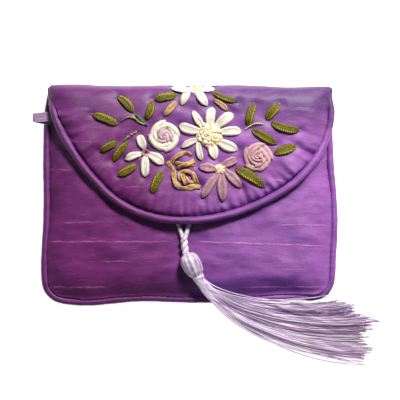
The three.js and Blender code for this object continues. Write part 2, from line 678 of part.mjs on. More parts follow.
// Satin loop at the left edge: its upper leg runs out from under the flap, over the piping, and folds back below
function sideLoop() {
  const edgeX = -sideEdge(loopY, 'left');
  const pipingX = edgeX - pipingOut;
  const overPiping = pipingTop + gap + loopThickness / 2;
  const insideX = flapLeanAt(loopY) - flapWidthAt(loopY) + pipingRadius;
  const farX = edgeX - loopReach;
  const foldRadius = 1.1 * loopThickness;
  const overFront = (x) => frontFace(x, loopY) + gap + loopThickness / 2;
  const shift = -0.45 * loopWidth;
  const path = [
    { x: insideX, z: overFront(insideX) + 0.15, shift: 0 },
    { x: (insideX + edgeX) / 2, z: overFront((insideX + edgeX) / 2) + 0.35, shift: 0 },
    { x: edgeX, z: Math.max(overFront(edgeX), overPiping) + 0.2, shift: 0 },
    { x: pipingX, z: overPiping + 0.15, shift: 0 },
    { x: farX + 1.6, z: overPiping - 0.5, shift: 0 },
    { x: farX + 0.5, z: overPiping - 0.8, shift: 0.1 * shift },
    { x: farX, z: overPiping - 0.8 - foldRadius, shift: 0.4 * shift },
    { x: farX + 0.5, z: overPiping - 0.8 - 2 * foldRadius, shift: 0.8 * shift },
    { x: farX + 2.2, z: overPiping - 0.7 - 2 * foldRadius, shift },
    { x: pipingX - pipingRadius - gap, z: overPiping - 0.6 - 2 * foldRadius, shift },
  ];
  const rings = path.map((spot, place) => {
    const before = path[Math.max(place - 1, 0)];
    const after = path[Math.min(place + 1, path.length - 1)];
    const run = new THREE.Vector2(after.x - before.x, after.z - before.z).normalize();
    const [upX, upZ] = [-run.y * loopThickness / 2, run.x * loopThickness / 2];
    const y = loopY + spot.shift;
    return [
      new THREE.Vector3(spot.x + upX, y - loopWidth / 2, spot.z + upZ),
      new THREE.Vector3(spot.x + upX, y + loopWidth / 2, spot.z + upZ),
      new THREE.Vector3(spot.x - upX, y + loopWidth / 2, spot.z - upZ),
      new THREE.Vector3(spot.x - upX, y - loopWidth / 2, spot.z - upZ),
    ];
  });
  return ringSolid(rings);
}

// Height of what a lock of the tassel lies on: the front panel, the piping beside it, or the surface below
function lockBed(x, y) {
  const side = sideDistance(x, y);
  const bottom = y - bottomEdge(x);
  if (side > 0 && bottom > 0) return frontFace(x, y) + gap;
  const pipingWidth = pipingDiameter + 2 * gap;
  if (side > -pipingWidth && bottom > -pipingWidth) return pipingTop + gap;
  return 0;
}

// Tube of oval sections along a run of places with a half width and a half height each
function ovalTube(spots, sides) {
  const rings = spots.map((spot, place) => {
    const before = spots[Math.max(place - 1, 0)].middle;
    const after = spots[Math.min(place + 1, spots.length - 1)].middle;
    const run = after.clone().sub(before).normalize();
    const aside = new THREE.Vector3(-run.y, run.x, 0).normalize();
    const up = run.clone().cross(aside).normalize();
    if (up.z < 0) up.negate();
    return Array.from({ length: sides }, (_, side) => {
      const angle = 2 * Math.PI * (side + 0.5) / sides;
      return spot.middle.clone()
        .addScaledVector(aside, spot.halfWidth * Math.cos(angle))
        .addScaledVector(up, spot.halfHeight * Math.sin(angle));
    });
  });
  return ringSolid(rings);
}

// The two plies come from under the flap's tip and join in a twisted stem
const tipX = flapLeanAt(tipY);
const joinSpot = { x: tipX - 0.3, y: tipY - 2 * pipingRadius - gap - 5.2 };
const stemEnd = { x: joinSpot.x + 0.9, y: joinSpot.y - cordStem };

function tasselCord() {
  const onFront = (x, y, radius, lift) => new THREE.Vector3(x, y, frontFace(x, y) + gap + radius + lift);
  const ply = (startX) => {
    const radius = plyDiameter / 2;
    const steps = 5;
    return ovalTube(Array.from({ length: steps + 1 }, (_, step) => {
      const share = step / steps;
      const x = startX + (joinSpot.x - startX) * share;
      const y = tipY - 0.4 + (joinSpot.y - tipY + 0.4) * share;
      return { middle: onFront(x, y, radius, 0.5 * share), halfWidth: radius, halfHeight: radius };
    }), 8);
  };
  const stem = ovalTube(Array.from({ length: 5 }, (_, step) => {
    const share = step / 4;
    const x = joinSpot.x + (stemEnd.x - joinSpot.x) * share ** 2;
    const y = joinSpot.y + 1 + (stemEnd.y - joinSpot.y - 1) * share;
    const radius = cordDiameter / 2;
    return { middle: onFront(x, y, radius, 0.1), halfWidth: radius, halfHeight: radius };
  }), 8);
  const spread = 2 * cordDiameter;
  return join([ply(joinSpot.x - spread / 2), ply(joinSpot.x + spread / 2), stem]);
}

// Straight line between the front panel's heights under the two ends of the head
function headBed(headSpot, at) {
  const [start, end] = [headSpot(0), headSpot(1)];
  return gap + 0.1 + frontFace(start.x, start.y) * (1 - at) + (frontFace(end.x, end.y) + 0.4) * at;
}

function tassel() {
  const turn = radians(headTurn);
  const headStart = { x: stemEnd.x + gap / 2, y: stemEnd.y - 3 * gap };
  const headSpot = (at) => {
    const x = headStart.x + at * headLength * Math.cos(turn);
    const y = headStart.y + at * headLength * Math.sin(turn);
    return { x, y };
  };
  const head = ovalTube(headForm.map(({ at, radius }) => {
    const { x, y } = headSpot(at);
    const halfWidth = radius * headDiameter / 2;
    const height = headBed(headSpot, at) + headRise * headDiameter / 2 * (0.4 + 0.6 * radius);
    return { middle: new THREE.Vector3(x, y, height), halfWidth, halfHeight: halfWidth * headRise };
  }), 12);
  const waist = headSpot(0.94);
  const waistRadius = headForm[headForm.length - 1].radius;
  const waistHeight = headBed(headSpot, 0.94) + headRise * headDiameter / 2 * (0.4 + 0.6 * waistRadius);
  const strands = locks.map((lock) => {
    const angle = radians(lock.turn);
    const length = lock.reach * skirtLength;
    const line = new THREE.Vector2(Math.cos(angle), Math.sin(angle)).multiplyScalar(length);
    const below = new THREE.Vector2(line.y, -line.x).multiplyScalar(lock.bow);
    const steer = (along, down) => new THREE.Vector2(waist.x, waist.y)
      .addScaledVector(line, along).addScaledVector(below, down);
    const curve = new THREE.CubicBezierCurve(steer(0, 0), steer(0.16, 1.25), steer(0.56, 1.5), steer(1, 0));
    const count = 12;
    const spots = Array.from({ length: count + 1 }, (_, step) => {
      const at = step / count;
      const place = curve.getPoint(at);
      const tangent = curve.getTangent(at);
      const halfWidth = tableValue(lockForm, 'at', 'width', at) * lockWidth / 2;
      const halfHeight = tableValue(lockForm, 'at', 'height', at) * lockThickness / 2;
      let bed = 0;
      for (const aside of [-1, -0.5, 0, 0.5, 1]) {
        const reach = aside * (halfWidth + 0.4);
        bed = Math.max(bed, lockBed(place.x - tangent.y * reach, place.y + tangent.x * reach));
      }
      return { place, bed, halfWidth, halfHeight };
    });
    spots.forEach((spot, step) => {
      let height = step === 0 ? waistHeight : 0;
      for (const other of spots) {
        const fall = slackSlope * spot.place.distanceTo(other.place);
        height = Math.max(height, other.bed + other.halfHeight - fall);
      }
      const sunk = waistHeight - slackSlope * 0.4 * spot.place.distanceTo(spots[0].place);
      height = Math.max(height, spot.halfHeight, step < 3 ? sunk : 0);
      spot.middle = new THREE.Vector3(spot.place.x, spot.place.y, height);
    });
    return ovalTube(spots, 8);
  });
  return join([head, ...strands]);
}

const wrap = backAndFlap();
add('back_and_flap', wrap.geometry, colours.cloth);
add('front_panel', frontPanel(), colours.front);
add('edge_piping', edgePiping(wrap.rows, wrap.columns), colours.piping, 0.5);
add('press_stud', pressStud(), colours.steel, 0.3, 1);
add('side_loop', sideLoop(), colours.lilac, 0.4);
add('tassel_cord', tasselCord(), colours.cord, 0.4);
add('tassel', tassel(), colours.lilac, 0.4);
for (const leaf of leaves) add(leaf.name, ribbonStitch(leaf, leafForm), colours.leaf, 0.45);
for (const leaf of goldLeaves) add(leaf.name, ribbonStitch(leaf, leafForm), colours.gold, 0.45);
add('top_daisy', flower(topDaisy), colours.white, 0.5);
add('daisy', flower(daisy), colours.white, 0.5);
add('four_petal_flower', flower(fourPetalFlower), colours.white, 0.5);
add('pink_flower', flower(pinkFlower), colours.pink, 0.5);
for (const { name, colour, ...rose } of roses) {
  add(name, roundKnot({ ...rose, high: roseHeight }, roseRings, 14), colour, 0.5);
}
add('gold_knot', join(goldKnot.map((strap) => ribbonStitch(strap, strapForm))), colours.gold, 0.45);

export default purse;
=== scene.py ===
# An embroidered purple silk purse with a lilac tassel, lying on its back on a white table.
# Everything is in metres in the frame's own place: +X right, +Y to the fold, +Z up,
# with the origin under the back panel.

import math
import random

import bpy
import numpy as np
from mathutils import Euler, Matrix, Vector, kdtree, noise
from mathutils.bvhtree import BVHTree


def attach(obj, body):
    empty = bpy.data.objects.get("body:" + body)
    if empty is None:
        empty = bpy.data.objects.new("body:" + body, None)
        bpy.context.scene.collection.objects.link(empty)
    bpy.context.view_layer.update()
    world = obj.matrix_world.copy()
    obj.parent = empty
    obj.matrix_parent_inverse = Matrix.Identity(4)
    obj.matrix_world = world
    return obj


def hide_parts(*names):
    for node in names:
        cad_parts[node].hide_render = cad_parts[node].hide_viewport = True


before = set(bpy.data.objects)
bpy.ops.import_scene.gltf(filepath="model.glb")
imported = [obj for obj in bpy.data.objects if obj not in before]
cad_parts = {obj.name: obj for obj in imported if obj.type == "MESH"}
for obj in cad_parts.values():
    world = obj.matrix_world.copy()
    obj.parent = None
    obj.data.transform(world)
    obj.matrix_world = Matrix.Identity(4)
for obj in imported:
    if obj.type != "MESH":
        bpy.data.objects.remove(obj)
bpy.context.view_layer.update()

MM = 0.001
RIBBON = 4 * MM              # width of the embroidery's ribbon
HALF_WIDTH = 63.1 * MM       # of the silk
FOLD_Y = 48.8 * MM
FLAP_DROP = 58.1 * MM        # from the fold to the flap's tip
FOLD_MIDDLE_Y = FOLD_Y - 6.5 * MM
FOLD_MIDDLE_Z = 7.5 * MM
FOLD_STARTS = 40 * MM        # past this Y the silk is on its way over the fold
SIDE_STARTS = 50 * MM        # past this X it is on its way to the side seam
FLAP_ABOVE = 9 * MM          # the flap lies above this height, the back panel below it
CLOTH = "cloth"              # UV map of the silk
ANY_TURN = 6.28              # a whole turn, for random phases
GOLDEN_ANGLE = 2.39996       # between one knot and the next, so that they spread evenly
rng = random.Random(7)


# Camera and light

def linked(name, data):
    made = bpy.data.objects.new(name, data)
    bpy.context.collection.objects.link(made)
    return made


def camera():
    """Straight above the purse; the frame is frame_width across at the front panel's height."""
    frame_width, middle_x, middle_y, front_height = 184 * MM, 4.6 * MM, -1.84 * MM, 12 * MM
    distance, sensor = 1.2, 36
    data = bpy.data.cameras.new("camera")
    data.sensor_width = sensor
    data.lens = sensor * distance / frame_width
    seen = linked("camera", data)
    seen.location = (middle_x, middle_y, distance + front_height)
    bpy.context.scene.camera = seen


def area_light(name, place, size, energy, colour):
    data = bpy.data.lights.new(name, "AREA")
    data.shape = "DISK"
    data.size = size
    data.energy = energy
    data.color = colour
    lamp = linked(name, data)
    lamp.location = place
    lamp.rotation_euler = (-Vector(place)).to_track_quat("-Z", "Y").to_euler()


def surroundings():
    world = bpy.data.worlds.new("studio")
    world.use_nodes = True
    sky = world.node_tree.nodes["Background"]
    sky.inputs["Color"].default_value = (0.86, 0.90, 1.0, 1.0)
    sky.inputs["Strength"].default_value = 0.06
    bpy.context.scene.world = world
    bpy.context.scene.view_settings.view_transform = "Standard"
    area_light("key", (0.24, 0.53, 0.61), 0.20, 11.7, (1.0, 0.98, 0.95))
    area_light("fill", (-0.6, -0.1, 0.8), 0.6, 0.5, (0.95, 0.97, 1.0))
    deselect()
    bpy.ops.mesh.primitive_plane_add(size=4, location=(0, 0, -0.1 * MM))
    table = bpy.context.object
    table.name = "table"
    paper = Finish("white_table")
    fibre = paper.noise(paper.coordinates(scale=(40, 40, 40)), detail=3)
    paper.set({
        "Base Color": paper.mix(fibre, (0.90, 0.90, 0.91, 1), (0.93, 0.93, 0.93, 1)),
        "Roughness": 0.8,
        "Emission Color": (1.0, 0.99, 0.98, 1),
        "Emission Strength": 0.92,
    })
    table.data.materials.append(paper.material)


# Materials

class Socket:
    """An output socket. Arithmetic on it adds Math nodes."""

    def __init__(self, finish, socket):
        self.finish = finish
        self.socket = socket

    def math(self, operation, *values):
        inputs = dict(enumerate((self, *values)))
        return self.finish.node("Math", {"operation": operation}, inputs)

    def __add__(self, other):
        return self.math("ADD", other)

    def __sub__(self, other):
        return self.math("SUBTRACT", other)

    def __mul__(self, other):
        return self.math("MULTIPLY", other)

    def __rsub__(self, other):
        return self * -1 + other

    __radd__ = __add__
    __rmul__ = __mul__

    def between(self, low, high):
        """0 at low, 1 at high and a smooth step between them."""
        settings = {"interpolation_type": "SMOOTHSTEP"}
        inputs = {"Value": self, "From Min": low, "From Max": high}
        return self.finish.node("MapRange", settings, inputs)


class Finish:
    """A material with its shader, and one method that adds any other node."""

    def __init__(self, name):
        self.material = bpy.data.materials.new(name)
        self.material.use_nodes = True
        self.tree = self.material.node_tree
        self.shader = self.tree.nodes["Principled BSDF"]

    def feed(self, socket, value):
        if isinstance(value, Socket):
            self.tree.links.new(value.socket, socket)
        else:
            socket.default_value = value

    def node(self, kind, settings=None, inputs=None, output=0):
        added = self.tree.nodes.new("ShaderNode" + kind)
        for key, value in (settings or {}).items():
            setattr(added, key, value)
        for key, value in (inputs or {}).items():
            self.feed(added.inputs[key], value)
        return Socket(self, added.outputs[output])

    def set(self, values):
        for key, value in values.items():
            self.feed(self.shader.inputs[key], value)

    def coordinates(self, uv_map=None, scale=(1, 1, 1), turn=0.0):
        if uv_map:
            place = self.node("UVMap", {"uv_map": uv_map})
        else:
            place = self.node("TexCoord", output="Object")
        if turn:
            place = self.node("Mapping", inputs={"Vector": place, "Rotation": (0, 0, turn)})
        return self.node("Mapping", inputs={"Vector": place, "Scale": scale})

    def noise(self, place, detail, roughness=0.5):
        inputs = {"Vector": place, "Scale": 1.0, "Detail": detail, "Roughness": roughness}
        return self.node("TexNoise", inputs=inputs)

    def mix(self, factor, first, second, blend="MIX"):
        settings = {"data_type": "RGBA", "blend_type": blend}
        return self.node("Mix", settings, {0: factor, 6: first, 7: second}, output=2)

    def part(self, place, axis):
        return self.node("SeparateXYZ", inputs={0: place}, output=axis)

    def bump(self, height, distance, strength):
        inputs = {"Height": height, "Distance": distance, "Strength": strength}
        return self.node("Bump", inputs=inputs)


def rgb(red, green, blue):
    """Linear colour from an sRGB one of 0 to 255."""
    def linear(value):
        share = value / 255
        return share / 12.92 if share <= 0.04045 else ((share + 0.055) / 1.055) ** 2.4
    return (linear(red), linear(green), linear(blue), 1.0)


# Thick weft threads of the silk: where each lies along the cloth in mm, its drift across it,
# its left and right ends in mm, and its strength
SLUBS = [
    (75.2, 0.000, -66, -7, 0.8),
    (75.0, 0.037, 2, 64, 0.9),
    (96.4, 0.004, -65, -37, 0.8),
    (96.2, 0.000, 22, 65, 0.9),
    (42.6, 0.010, -66, -53, 0.8),
    (66.6, 0.018, 38, 65, 0.8),
    (65.8, -0.010, -60, -40, 0.6),
    (84.5, 0.010, -42, -26, 0.6),
    (45.0, 0.050, 35, 47, 0.8),
    (50.0, 0.000, -32, -19, 0.5),
    (30.0, 0.015, -58, -40, 0.4),
    (88.0, 0.000, 40, 56, 0.5),
]


def slub_threads(finish, across, along):
    wander = finish.noise(finish.coordinates(CLOTH, (130, 0, 1)), detail=5, roughness=0.7)
    wander = (wander - 0.5) * (2.4 * MM)
    thick = finish.noise(finish.coordinates(CLOTH, (260, 60, 1)), detail=3)
    thick = thick.between(0.30, 0.66) * 0.75 + 0.25
    shown = 0.0
    for at, drift, start, end, strength in SLUBS:
        apart = (along - across * drift - wander - at * MM).math("ABSOLUTE")
        line = 1 - apart.between(0.05 * MM, 0.62 * MM)
        begun = across.between(start * MM, (start + 4) * MM)
        ended = across.between((end - 5) * MM, end * MM)
        shown = line * (begun * (1 - ended)) * strength + shown
    return shown * thick


def silk(name, red_and_shaded_side, blue_and_lit_side, shade, slub, bump=1.0, gloss=0.46):
    """Shot silk with slubs: red-violet to the left, blue-violet to the right. Its darker left and lighter right
    are in part painted shade and painted light.
    """
    finish = Finish(name)
    across = finish.part(finish.coordinates(CLOTH), 0)
    along = finish.part(finish.coordinates(CLOTH), 1)
    facing = finish.node("NewGeometry", output="Normal")
    tilt = finish.part(facing, 0) * 0.45 + finish.part(facing, 1) * 0.9
    sweep = finish.noise(finish.coordinates(scale=(26, 34, 26)), detail=3)
    # Shot colour from red-violet on the left to blue-violet on the right; how much darker the left is and
    # lighter the right is painted shade and painted light
    side = across.between(-0.058, 0.058) * 0.8 + (sweep - 0.5) * 1.1
    ground = finish.mix(side.between(-0.1, 0.95), red_and_shaded_side, blue_and_lit_side)
    # Deeper where it turns from the light
    turned = (sweep * 0.2 + 0.07 - tilt).between(0.05, 0.62)
    deep = finish.mix(side.between(0.1, 0.8), rgb(74, 24, 74), shade)
    ground = finish.mix(turned * 0.72, ground, deep)
    # Painted shade beside the fold, most of all on its outer edge where the silk turns away
    fold_painted_shade = along.between(-0.008, -0.001) * (1 - along.between(0.009, 0.030))
    ground = finish.mix(fold_painted_shade * (across.between(-0.03, 0.05) * 0.48 + 0.36), ground, rgb(78, 48, 102))
    # Darkest painted shade on the fold's outer edge
    brink_painted_shade = along.between(-0.008, -0.003) * (1 - along.between(0.0, 0.004))
    ground = finish.mix(brink_painted_shade * 0.7, ground, rgb(52, 34, 70))
    # Crushed places, the nap of the weft, and short and long slubs
    crush = finish.noise(finish.coordinates(CLOTH, (110, 260, 1)), detail=5, roughness=0.65)
    crushed = finish.mix(crush.between(0.24, 0.76), (0.72, 0.66, 0.74, 1), (1.20, 1.18, 1.17, 1))
    ground = finish.mix(1.0, ground, crushed, "MULTIPLY")
    nap = finish.noise(finish.coordinates(CLOTH, (900, 2300, 1)), detail=3, roughness=0.7)
    short = finish.noise(finish.coordinates(CLOTH, (190, 2000, 1)), detail=1).between(0.62, 0.74)
    slubs = slub_threads(finish, across, along) + short * 0.22
    ground = finish.mix((nap - 0.35) * 0.55, ground, (0.028, 0.008, 0.040, 1))
    ground = finish.mix(slubs * 0.5, ground, slub)
    warp = finish.noise(finish.coordinates(CLOTH, (5200, 900, 1)), detail=1)
    crumple = finish.noise(finish.coordinates(CLOTH, (150, 260, 1)), detail=3)
    folds = finish.noise(finish.coordinates(CLOTH, (44, 54, 1)), detail=1)
    height = nap * 0.16 + warp * 0.06 + slubs * 0.25 + crumple * 0.26 + folds * 0.7
    finish.set({
        "Base Color": ground,
        "Roughness": gloss - slubs * 0.1 + (crush - 0.5) * 0.14,
        "Normal": finish.bump(height, bump * MM, 0.6),
        "Specular IOR Level": 0.36,
        "Sheen Weight": 0.09,
        "Sheen Roughness": 0.35,
        "Sheen Tint": rgb(206, 150, 226),
        "Anisotropic": 0.35,
    })
    return finish.material


def satin_thread(name, dark, light, scale, turn=0.0, low_painted_shade=None):
    """Fine shiny thread: each one a little darker or lighter than the next, in streaks."""
    finish = Finish(name)
    each = finish.node("NewGeometry", output="Random Per Island")
    soft = finish.noise(finish.coordinates(scale=scale, turn=turn), detail=3)
    tone = finish.mix((each * 0.45 + soft * 0.9).between(0.30, 1.0), dark, light)
    if low_painted_shade:
        # Painted shade on the threads that lie low, near the table, under the others
        height = finish.part(finish.coordinates(), 2)
        tone = finish.mix((1 - height.between(0.0, 10 * MM)) * 0.6, tone, low_painted_shade)
    finish.set({
        "Base Color": tone,
        "Roughness": 0.40 + soft * 0.12,
        "Normal": finish.bump(soft, 0.1 * MM, 0.5),
        "Sheen Weight": 0.3,
        "Sheen Roughness": 0.3,
        "Specular IOR Level": 0.5,
    })
    return finish.material


def ribbon_finish(name, ground, deep, tip, picot, picot_share):
    """Narrow silk ribbon: grain along its length, a deeper middle and tips, and woven edge loops."""
    finish = Finish(name)
    grid = "UVMap"
    along = finish.part(finish.coordinates(grid), 0)
    across = finish.part(finish.coordinates(grid), 1)
    each = finish.node("NewGeometry", output="Random Per Island")
    grain = finish.noise(finish.coordinates(grid, (2.4, 30, 1)), detail=3, roughness=0.6)
    mottle = finish.noise(finish.coordinates(scale=(520, 520, 520)), detail=3)
    from_middle = (across - 0.5).math("ABSOLUTE")
    middle = 1 - from_middle.between(0.10, 0.40)
    shares = grain.between(0.32, 0.66) * 0.45 + mottle.between(0.35, 0.7) * 0.35 + middle * 0.3
    tone = finish.mix(shares, ground, deep)
    ends = 1 - along.between(0.0, 0.20) * (1 - along.between(0.88, 1.0))
    tone = finish.mix(ends * 0.6, tone, tip)
    one_side = (across - 0.5) * (each.between(0.45, 0.55) * 2 - 1)
    beside = one_side.between(0.20, 0.28) * (1 - one_side.between(0.34, 0.42))
    patchy = finish.noise(finish.coordinates(grid, (9, 4, 1)), detail=2).between(0.36, 0.56)
    loops = (along * 88 + mottle * 9).math("SINE").between(0.1, 0.7) * patchy
    flecks = finish.noise(finish.coordinates(grid, (64, 15, 1)), detail=1).between(0.56, 0.68) * 0.75
    tone = finish.mix((beside * loops + flecks) * picot_share, tone, picot)
    piece_tone = finish.mix(each, (0.84, 0.84, 0.84, 1), (1.08, 1.08, 1.08, 1))
    tone = finish.mix(1.0, tone, piece_tone, "MULTIPLY")
    height = grain * 0.7 + beside * loops * 0.5 + mottle * 0.3
    finish.set({
        "Base Color": tone,
        "Roughness": 0.50 + grain * 0.12,
        "Normal": finish.bump(height, 0.25 * MM, 0.8),
        "Sheen Weight": 0.02,
        "Sheen Roughness": 0.4,
        "Specular IOR Level": 0.26,
    })
    return finish.material


def knot_finish(name, light, warm, green):
    """Knotted floss in cream with a few warm and green turns."""
    finish = Finish(name)
    each = finish.node("NewGeometry", output="Random Per Island")
    twist = finish.noise(finish.coordinates(scale=(1500, 1500, 1500)), detail=2)
    tone = finish.mix(each.between(0.55, 0.75), light, warm)
    tone = finish.mix(each.between(0.90, 0.94) * 0.5, tone, green)
    tone = finish.mix(twist.between(0.35, 0.7) * 0.25, tone, warm)
    finish.set({
        "Base Color": tone,
        "Roughness": 0.5,
        "Normal": finish.bump(twist, 0.12 * MM, 0.6),
        "Sheen Weight": 0.3,
    })
    return finish.material


def steel_finish():
    finish = Finish("nickel_plate")
    wear = finish.noise(finish.coordinates(scale=(300, 300, 300)), detail=4)
    finish.set({
        "Base Color": finish.mix(wear, (0.55, 0.55, 0.57, 1), (0.75, 0.75, 0.76, 1)),
        "Metallic": 1.0,
        "Roughness": 0.22 + wear * 0.25,
    })
    return finish.material


# Building helpers

def deselect():
    if bpy.context.object and bpy.context.object.mode != "OBJECT":
        bpy.ops.object.mode_set(mode="OBJECT")
    bpy.ops.object.select_all(action="DESELECT")


def select_only(*pieces):
    deselect()
    for piece in pieces:
        piece.select_set(True)
    bpy.context.view_layer.objects.active = pieces[0]


def apply_modifier(piece, kind, **settings):
    select_only(piece)
    modifier = piece.modifiers.new(kind.lower(), kind)
    for key, value in settings.items():
        setattr(modifier, key, value)
    bpy.ops.object.modifier_apply(modifier=modifier.name)


def smooth(piece, angle=180):
    select_only(piece)
    bpy.ops.object.shade_smooth_by_angle(angle=math.radians(angle))


def joined(name, pieces):
    select_only(*pieces)
    if len(pieces) > 1:
        bpy.ops.object.join()
    whole = bpy.context.object
    whole.name = name
    whole.data.name = name
    return whole


def finish_piece(piece, material, slot, *nodes):
    piece.data.materials.clear()
    piece.data.materials.append(material)
    if nodes:
        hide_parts(*nodes)
    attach(piece, "root")


def solid_copy(node, name):
    """A merged copy of a frame node's mesh, in quads again."""
    piece = linked(name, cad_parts[node].data.copy())
    select_only(piece)
    bpy.ops.object.mode_set(mode="EDIT")
    bpy.ops.mesh.select_all(action="SELECT")
    bpy.ops.mesh.remove_doubles(threshold=0.02 * MM)
    bpy.ops.mesh.tris_convert_to_quads(face_threshold=math.radians(60), shape_threshold=math.radians(70))
    bpy.ops.mesh.normals_make_consistent(inside=False)
    bpy.ops.object.mode_set(mode="OBJECT")
    return piece


def surface_of(*pieces, round_the_fold=False):
    """A lookup of the height of the highest of these pieces at a place. Beside them it is 0, or
    goes on round the fold."""
    trees = []
    for piece in pieces:
        mesh = piece.data
        points = [vertex.co.copy() for vertex in mesh.vertices]
        trees.append(BVHTree.FromPolygons(points, [tuple(face.vertices) for face in mesh.polygons]))

    def height(x, y):
        for back in range(12 if round_the_fold else 1):
            step = back * 0.5 * MM
            found = [tree.ray_cast(Vector((x, y - step, 0.1)), Vector((0, 0, -1)))[0] for tree in trees]
            found = [spot.z for spot in found if spot]
            if found:
                return max(found) - step
        return 0.0

    return height


def grid_mesh(columns, rows):
    """One flat grid, modelled once for each number of columns and rows; its copies are then shaped."""
    name = f"grid_{columns}_{rows}"
    if name not in bpy.data.meshes:
        deselect()
        bpy.ops.mesh.primitive_grid_add(x_subdivisions=columns, y_subdivisions=rows, size=2)
        bpy.context.object.data.name = name
        bpy.context.object.data.use_fake_user = True
        bpy.data.objects.remove(bpy.context.object)
    return bpy.data.meshes[name].copy()


def strip(columns, rows, place):
    """A grid whose points go where place(u, v) says, each from 0 to 1."""
    mesh = grid_mesh(columns, rows)
    mesh.use_fake_user = False
    for vertex in mesh.vertices:
        vertex.co = place((vertex.co.x + 1) / 2, (vertex.co.y + 1) / 2)
    return linked("strip", mesh)


def set_down(mesh, spot, turn=None, scale=(1, 1, 1)):
    """Moves a mesh's points, so that its object stays at the origin."""
    mesh.transform(Matrix.LocRotScale(Vector(spot), turn, Vector(scale)))


def sewn(name, strips, thickness=0.0):
    """Strips joined into one piece, each with a wall of that thickness."""
    whole = joined(name, strips)
    if thickness:
        apply_modifier(whole, "SOLIDIFY", thickness=thickness, offset=-1.0)
    smooth(whole, 60)
    return whole


def tubes(name, paths, radius, resolution):
    """Round threads along paths of points, all in one mesh. A point may carry its own radius share."""
    curve = bpy.data.curves.new(name, "CURVE")
    curve.dimensions = "3D"
    curve.bevel_depth = radius
    curve.bevel_resolution = resolution
    curve.use_fill_caps = True
    for path in paths:
        spline = curve.splines.new("POLY")
        spline.points.add(len(path) - 1)
        for point, (spot, share) in zip(spline.points, path):
            point.co = (*spot, 1.0)
            point.radius = share
    select_only(linked(name, curve))
    bpy.ops.object.convert(target="MESH")
    piece = bpy.context.object
    smooth(piece)
    return piece


# Padded silk

def past(value, start, reach):
    """0 up to start, 1 from reach beyond it, and an even step between them."""
    return np.clip((value - start) / reach, 0, 1)


def cloth_map(piece):
    """UV map in metres: across the purse, and along the cloth, up the back, over the fold and down."""
    mesh = piece.data
    layer = mesh.uv_layers.new(name=CLOTH)
    for loop in mesh.loops:
        x, y, z = mesh.vertices[loop.vertex_index].co
        if y < FOLD_MIDDLE_Y:
            along = FOLD_MIDDLE_Y - y + FOLD_MIDDLE_Z * math.pi / 2
            in_front = z > FOLD_MIDDLE_Z * 0.62 or piece.name == "front_silk"
            along = along if in_front else -along
        else:
            along = FOLD_MIDDLE_Z * math.atan2(z - FOLD_MIDDLE_Z, y - FOLD_MIDDLE_Y)
        layer.uv[loop.index].vector = (x, along)


def seam_lookup(piping):
    tree = kdtree.KDTree(len(piping.data.vertices))
    for index, vertex in enumerate(piping.data.vertices):
        tree.insert(vertex.co, index)
    tree.balance()
    return tree


def swells(spot, sizes, shift):
    """Noise whose swells are about so many mm long along each axis."""
    return noise.noise(Vector([value / (size * MM) for value, size in zip(spot, sizes)]) + shift)


def quilt(piece, seam, seed, snug, spread, stitch_spots=(), hem=0.0, rise=0.0, corner=0.0):
    """Puffs a silk panel with swells, gathers beside the seam and dimples under the stitches.
    In mm, snug fills the panel up to its seam and hem is the flap's fall there. In metres,
    spread, rise and corner move the sides, the fold and its corners out to the piping."""
    shift = Vector((seed * 3.1, seed * 1.7, seed * 0.9))
    vertices = piece.data.vertices
    place = np.empty(len(vertices) * 3)
    facing = np.empty(len(vertices) * 3)
    vertices.foreach_get("co", place)
    vertices.foreach_get("normal", facing)
    place, facing = place.reshape(-1, 3), facing.reshape(-1, 3)
    moves = np.zeros(len(vertices))
    lifts = np.zeros(len(vertices))
    for index, row in enumerate(place):
        spot = Vector(row)
        away = seam.find(spot)[2]
        beside = min(1.0, away / (1.5 * MM))
        inside = min(1.0, away / (7 * MM))
        angle = math.atan2(spot.x, FOLD_Y + 4 * MM - spot.y)
        gather = noise.noise(Vector((angle * 16, 0, seed))) * 0.25 * math.exp(-away / (3.0 * MM))
        pucker = noise.noise(Vector((angle * 6.5, away / (25 * MM), seed))) * 1.2
        pucker *= math.exp(-away / (10.0 * MM))
        swell = swells(spot, (19, 10, 14), shift) * 0.55
        ripple = swells(spot, (8.5, 4.2, 6), shift) * 0.22
        if hem and spot.z > FLAP_ABOVE and spot.y < FOLD_STARTS:
            # The flap's gathers lift straight up, so that its rim keeps one smooth line
            pleat = noise.noise(Vector((angle * 21, away / (14 * MM), seed)))
            pleat *= math.exp(-away / (5.0 * MM))
            wave = (pucker * 2.0 + pleat * 1.6) * beside
            lifts[index] = (wave - hem * math.exp(-away / (4.5 * MM))) * MM
            pucker = 0.0
            rounded = (1 - math.exp(-(away / (1.3 * MM)) ** 2)) * math.exp(-away / (7.0 * MM))
            tight = 1.1 * max(0.0, facing[index][2]) * rounded
        else:
            tight = snug * math.exp(-(away / (1.5 * MM)) ** 2)
        moves[index] = (gather + pucker * beside + (swell + ripple) * inside + tight) * MM
    top = place[:, 2] > FLAP_ABOVE
    for stitch_x, stitch_y, depth in stitch_spots:
        apart = (place[:, 0] - stitch_x) ** 2 + (place[:, 1] - stitch_y) ** 2
        moves -= np.where(top, depth * np.exp(-apart / (2.1 * MM) ** 2), 0)
    place += facing * moves[:, None]
    place[:, 2] += lifts
    from_middle = np.abs(place[:, 0])
    at_fold = past(place[:, 1], FOLD_STARTS, 8 * MM)
    at_corner = at_fold * past(from_middle, SIDE_STARTS, 10 * MM)
    at_side = past(from_middle, SIDE_STARTS, 12 * MM) * (1 - at_fold)
    at_bottom = past(-place[:, 1], 34 * MM, 10 * MM)
    place[:, 0] += np.sign(place[:, 0]) * (at_corner * corner + at_side * spread)
    place[:, 1] -= at_bottom * 0.5 * spread
    place[:, 1] += at_fold ** 2 * rise
    place[:, 2] = np.maximum(place[:, 2], 0)
    vertices.foreach_set("co", place.ravel())
    piece.data.update()


